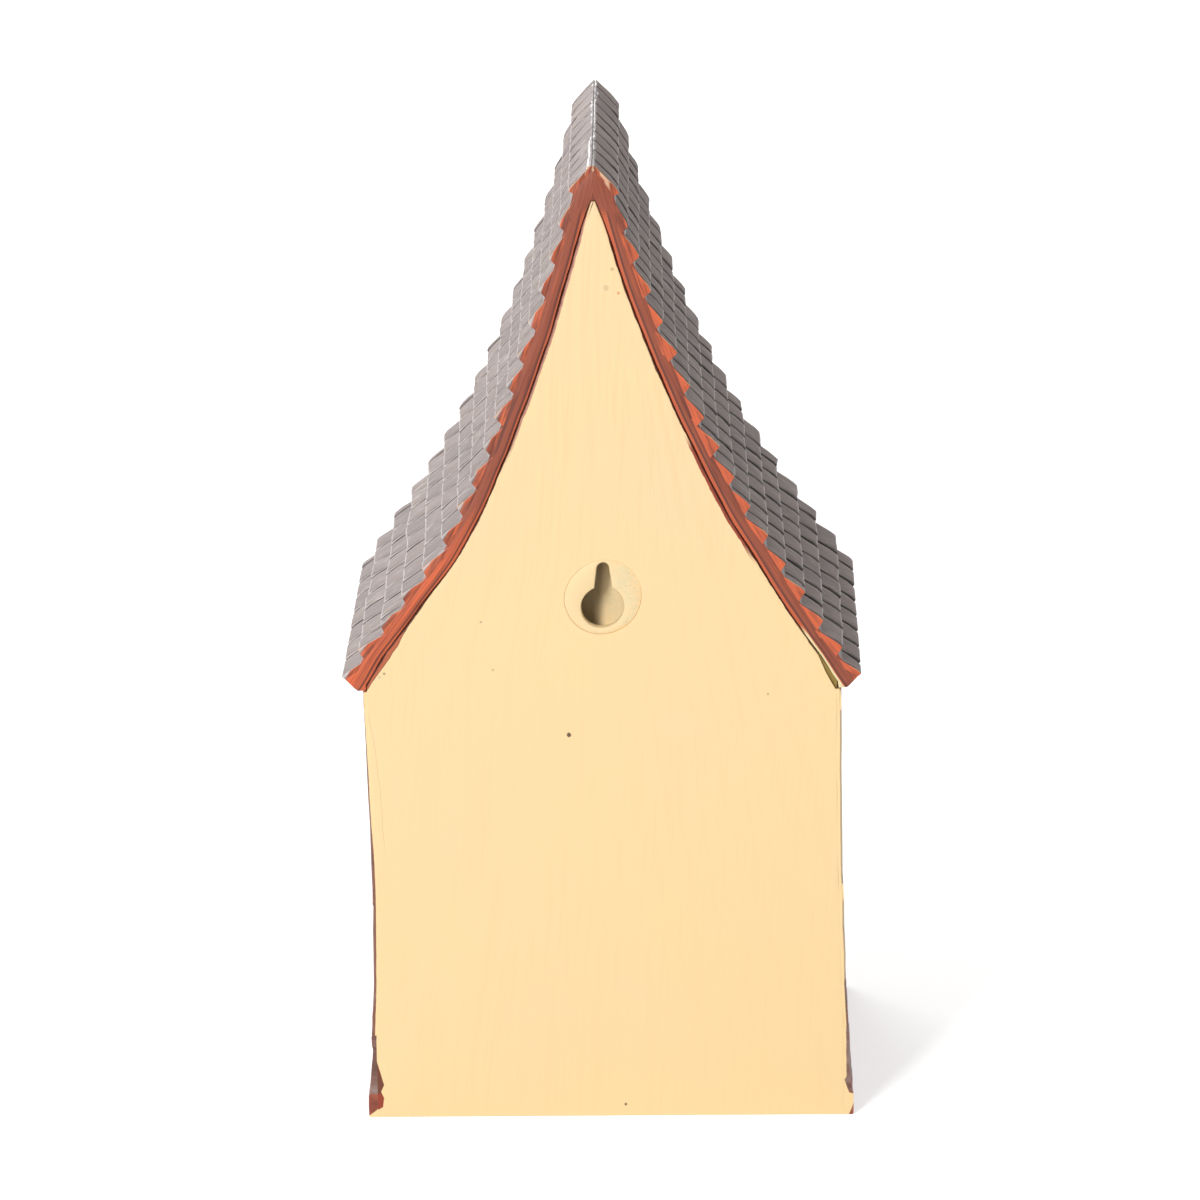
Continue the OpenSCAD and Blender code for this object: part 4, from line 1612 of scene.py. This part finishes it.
@dataclass
class KeyholeHanger:
    """The round cup let into the back wall, with a keyhole in its face."""

    resin: CastResin
    back_y: float
    middle_z: float = 167.0
    face_r: float = 11.7
    shoulder_r: float = 13.7
    shoulder_y: float = 1.6
    depth: float = 12.0
    wall: float = 1.5
    face_t: float = 2.8
    key_r: float = 6.45
    key_drop: float = 3.2
    slot_len: float = 12.0
    slot_end: float = 1.9
    slot_foot: float = 2.7
    lean: float = 0.6
    slot: str = "insert_resin"

    def build(self) -> Object:
        """Builds the cup and dresses it."""
        outline = self._outline()
        rings = self._rings(outline)
        cup = swept_bar(
            "hanger_cup", len(outline), len(rings), lambda index, share: rings[round(share * (len(rings) - 1))][index]
        )
        lay(cup, self._pressed)
        return settle(cup, self.resin, self.slot, "hanger_insert")

    def _outline(self) -> list[Vector]:
        """Outline of the keyhole in X and Z: a round part with a tapering slot above it."""
        low, top = self.middle_z - self.key_drop, self.middle_z - self.key_drop + self.slot_len
        meet = math.asin(self.slot_foot / self.key_r)
        turns = [meet + (math.tau - 2 * meet) * i / 56 for i in range(57)]
        cap = [math.pi / 2 - math.pi * i / 12 for i in range(13)]
        around = [Vector((self.key_r * math.sin(a), low + self.key_r * math.cos(a))) for a in turns]
        end = [Vector((self.lean - self.slot_end * math.sin(a), top + self.slot_end * math.cos(a))) for a in cap]
        up = [around[-1].lerp(end[0], i / 5) for i in range(1, 5)]
        return [*around, *up, *end, *[end[-1].lerp(around[0], i / 5) for i in range(1, 5)]]

    def _rings(self, outline: list[Vector]) -> list[list[Vector]]:
        """Rings of the cup from the floor of its hollow, out through the keyhole and round to its back."""
        middle = Vector((0, self.middle_z))
        inner, deep = self.shoulder_r - self.wall, self.depth - self.face_t
        count = len(outline)
        normals = [(outline[(i + 1) % count] - outline[i - 1]).normalized() for i in range(count)]

        def circle(radius: float, depth: float) -> list[Vector]:
            flat = [middle + (point - middle).normalized() * radius for point in outline]
            return [Vector((point.x, self.back_y - depth, point.y)) for point in flat]

        def key(offset: float, depth: float) -> list[Vector]:
            flat = [point + Vector((-way.y, way.x)) * offset for point, way in zip(outline, normals)]
            return [Vector((point.x, self.back_y - depth, point.y)) for point in flat]

        rim, edge = key(0.5, 0.0), circle(self.face_r - 0.3, 0.0)
        return [
            circle(0.2, deep), circle(inner - 1.5, deep), circle(inner - 0.4, deep - 0.4), circle(inner, deep - 1.5),
            circle(inner, self.face_t + 0.8), circle(inner - 0.5, self.face_t), key(0.0, self.face_t),
            key(0.0, 0.75), key(0.06, 0.35), key(0.22, 0.1), rim,
            [one.lerp(two, 0.5) for one, two in zip(rim, edge)], edge,
            circle(self.face_r - 0.05, 0.12), circle(self.face_r, 0.5), circle(self.face_r, self.shoulder_y),
            circle(self.shoulder_r, self.shoulder_y), circle(self.shoulder_r, self.depth - 0.6),
            circle(self.shoulder_r - 0.6, self.depth), circle(0.2, self.depth),
        ]

    def _pressed(self, co: Vector) -> Vector:
        """Sinks the face a little on its right, where it was pressed in too far."""
        if co.y < self.back_y - 1:
            return co
        sink = 0.4 * max(0.0, min(1.0, (3 - co.x) / self.face_r)) ** 1.5
        return co - Vector((0, sink + 0.04 + abs(ripple(co, 3, 0.1)), 0))


@dataclass
class Studio:
    """Pale floor, soft lamps and the camera behind the house."""

    eye: tuple[float, float, float] = (-0.0325, 1.912, 0.718)
    yaw: float = 1.05
    pitch: float = 16.6
    roll: float = -0.73
    focal_px: float = 6413.0
    frame_px: float = 1200.0
    sensor: float = 36.0
    ambient: float = 0.4

    def build(self) -> None:
        """Builds the floor, the lamps, the world and the camera."""
        self._camera()
        self._floor()
        self._world()
        self._lamp("window", (1.275, 2.625, 1.725), (0.53, 1.8), 76.5)
        self._lamp("far_fill", (0.9, -1.7, 1.1), (1.4, 1.4), 22.0)

    def _camera(self) -> None:
        """Sets the camera where the photograph was taken from."""
        data = bpy.data.cameras.new("camera")
        data.sensor_width = self.sensor
        data.lens = self.focal_px / self.frame_px * self.sensor
        data.clip_start = 0.05
        data.clip_end = 50
        yaw, pitch, roll = (math.radians(angle) for angle in (self.yaw, self.pitch, self.roll))
        forward = Vector((math.sin(yaw) * math.cos(pitch), -math.cos(yaw) * math.cos(pitch), -math.sin(pitch)))
        level = Vector((-math.cos(yaw), -math.sin(yaw), 0))
        above = level.cross(forward)
        right = level * math.cos(roll) + above * math.sin(roll)
        up = above * math.cos(roll) - level * math.sin(roll)
        camera = bpy.data.objects.new("camera", data)
        camera.matrix_world = Matrix.Translation(self.eye) @ Matrix((right, up, -forward)).transposed().to_4x4()
        bpy.context.scene.collection.objects.link(camera)
        bpy.context.scene.camera = camera

    def _floor(self) -> None:
        """Lays a white floor that keeps a faint shadow."""
        floor = start("floor", bpy.ops.mesh.primitive_plane_add, size=14)
        made = bpy.data.materials.new("white_paper")
        made.use_nodes = True
        tree = made.node_tree
        tree.nodes.clear()
        white = add_node(tree, "BsdfDiffuse", {"Color": linear("#dcdcdc")})
        glow = add_node(tree, "Emission", {"Strength": self._seen(tree, 0.6)})
        both = add_node(tree, "AddShader", {0: white, 1: glow})
        add_node(tree, "OutputMaterial", {"Surface": both})
        floor.data.materials.append(made)

    def _seen(self, tree: Tree, strength: float) -> Socket:
        """Gives a strength to what the camera sees, straight or in gloss and glass, and none to the rest."""
        seen = 0.0
        for ray in ("Is Camera Ray", "Is Glossy Ray", "Is Transmission Ray"):
            seen = add_node(tree, "Math", {0: seen, 1: add_node(tree, "LightPath", out=ray)}, operation="MAXIMUM")
        return add_node(tree, "Math", {0: seen, 1: strength}, operation="MULTIPLY")

    def _world(self) -> None:
        """Fills the room with soft light and shows white behind the floor."""
        world = bpy.data.worlds.new("studio")
        world.use_nodes = True
        bpy.context.scene.world = world
        tree = world.node_tree
        tree.nodes.clear()
        soft = add_node(tree, "Background", {"Color": linear("#ffffff"), "Strength": self.ambient})
        backdrop = add_node(tree, "Background", {"Color": linear("#ffffff"), "Strength": 1.0})
        shown = add_node(tree, "MixShader", {0: self._seen(tree, 1.0), 1: soft, 2: backdrop})
        add_node(tree, "OutputWorld", {"Surface": shown})

    def _lamp(self, name: str, place: tuple[float, float, float], size: Point, watts: float) -> None:
        """Hangs a softbox that faces the house.

        Args:
            name: Name of the lamp.
            place: Where it hangs, in metres.
            size: Its width and height, in metres.
            watts: Its power.
        """
        data = bpy.data.lights.new(name, "AREA")
        data.shape = "RECTANGLE"
        data.size, data.size_y = size
        data.energy = watts
        lamp = bpy.data.objects.new(name, data)
        lamp.location = place
        target = Vector((0, 0, 0.15))
        lamp.rotation_euler = (target - Vector(place)).to_track_quat("-Z", "Y").to_euler()
        bpy.context.scene.collection.objects.link(lamp)


BACK_MARKS = (
    Mark(10.7, 123.5, 0.75, "#6b5540"),
    Mark(-3.4, 262.8, 0.9, "#e0c596"),
    Mark(-5.3, 268.5, 0.6, "#d9b98a"),
    Mark(-7.0, 261.2, 0.5, "#e0a878"),
    Mark(67.5, 142.3, 0.6, "#dccb9f"),
    Mark(65.9, 143.3, 0.5, "#bba97f"),
    Mark(-4.6, 3.8, 0.5, "#8c7650"),
    Mark(36.5, 159.4, 0.4, "#cdb588"),
    Mark(32.8, 144.3, 0.45, "#d6c092"),
    Mark(-50.8, 136.0, 0.4, "#cbb184"),
)


def dress_fixed_nodes(frame: dict, resin: Finish, zinc: Finish) -> None:
    """Gives the CAD nodes that stay their finishes.

    Args:
        frame: The loaded frame.
        resin: Finish of the floor plate.
        zinc: Finish of the floor screws.
    """
    for name, finish in (("floor_plate", resin), ("floor_screws", zinc)):
        node = frame["nodes"][name]
        node.data.materials.clear()
        node.data.materials.append(finish.material())
        LOG.info("%s: dressed", name)


def main() -> None:
    """Builds the dressed birdhouse round its frame."""
    logging.basicConfig(level=logging.INFO, format="%(name)s %(message)s")
    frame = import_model()
    bpy.context.scene.view_settings.view_transform = "Standard"
    roof_high, body_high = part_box("roof")[1] / MM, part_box("body")[1] / MM
    curve = RoofCurve(ridge_z=roof_high.z, tip_z=body_high.z, eave_x=roof_high.x)
    back_y, front_y = body_high.y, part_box("roof")[0].y / MM + 9.0
    red = RedOxidePaint(
        "red_oxide_varnished_acrylic", roughness=0.36, relief=0.12, curve=curve, half_depth=roof_high.y
    )
    slate = SlatePaint("slate_drybrushed_acrylic", roughness=0.6, relief=0.22, curve=curve, half_depth=roof_high.y)
    # The ridge is painted near white, partly its worn dry-brushed paint and partly painted highlight along the crest.
    white = SlatePaint(
        "ridge_drybrushed_acrylic_and_painted_highlight", roughness=0.6, relief=0.2, curve=curve, half_depth=roof_high.y,
        slate="#dcd7d6", sandy="#f5f3f2", deep="#8a8281", furrow="#a39b9a", chalk="#ffffff", lip_share=1.0, wash=0.0,
    )
    cream = CreamPaint(
        "cream_matt_acrylic", roughness=0.62, relief=0.02, curve=curve, back_y=back_y, marks=BACK_MARKS
    )
    brown = BrownPaint("umber_drybrushed_acrylic", roughness=0.55, relief=0.3)
    stone = PlinthPaint("skirt_drybrushed_acrylic", roughness=0.55, relief=0.25)
    band = PlinthPaint(
        "band_red_oxide_acrylic", roughness=0.42, relief=0.12, base="#8b4430", brushed="#aa5c43", dark="#6f3526",
    )
    Studio().build()
    TiledRoof(curve, roof_high.y, red, slate, white).build()
    CreamWalls(curve, cream, back_y, front_y).build()
    TimberFrame(curve, brown, back_y, front_y).build()
    Plinth(curve.side_x, front_y, back_y, stone, band).build()
    KeyholeHanger(CastResin("washed_cast_resin", roughness=0.6, relief=0.06), back_y).build()
    floor = CastResin(
        "bare_cast_resin", roughness=0.55, relief=0.08, at_rest=False, base="#6f5f4f", wash="#7d6c5a", pore="#4c4036"
    )
    zinc = ZincPlate("zinc_plated_steel", roughness=0.3, metallic=1.0, relief=0.02, at_rest=False)
    dress_fixed_nodes(frame, floor, zinc)


if __name__ == "__main__":
    main()
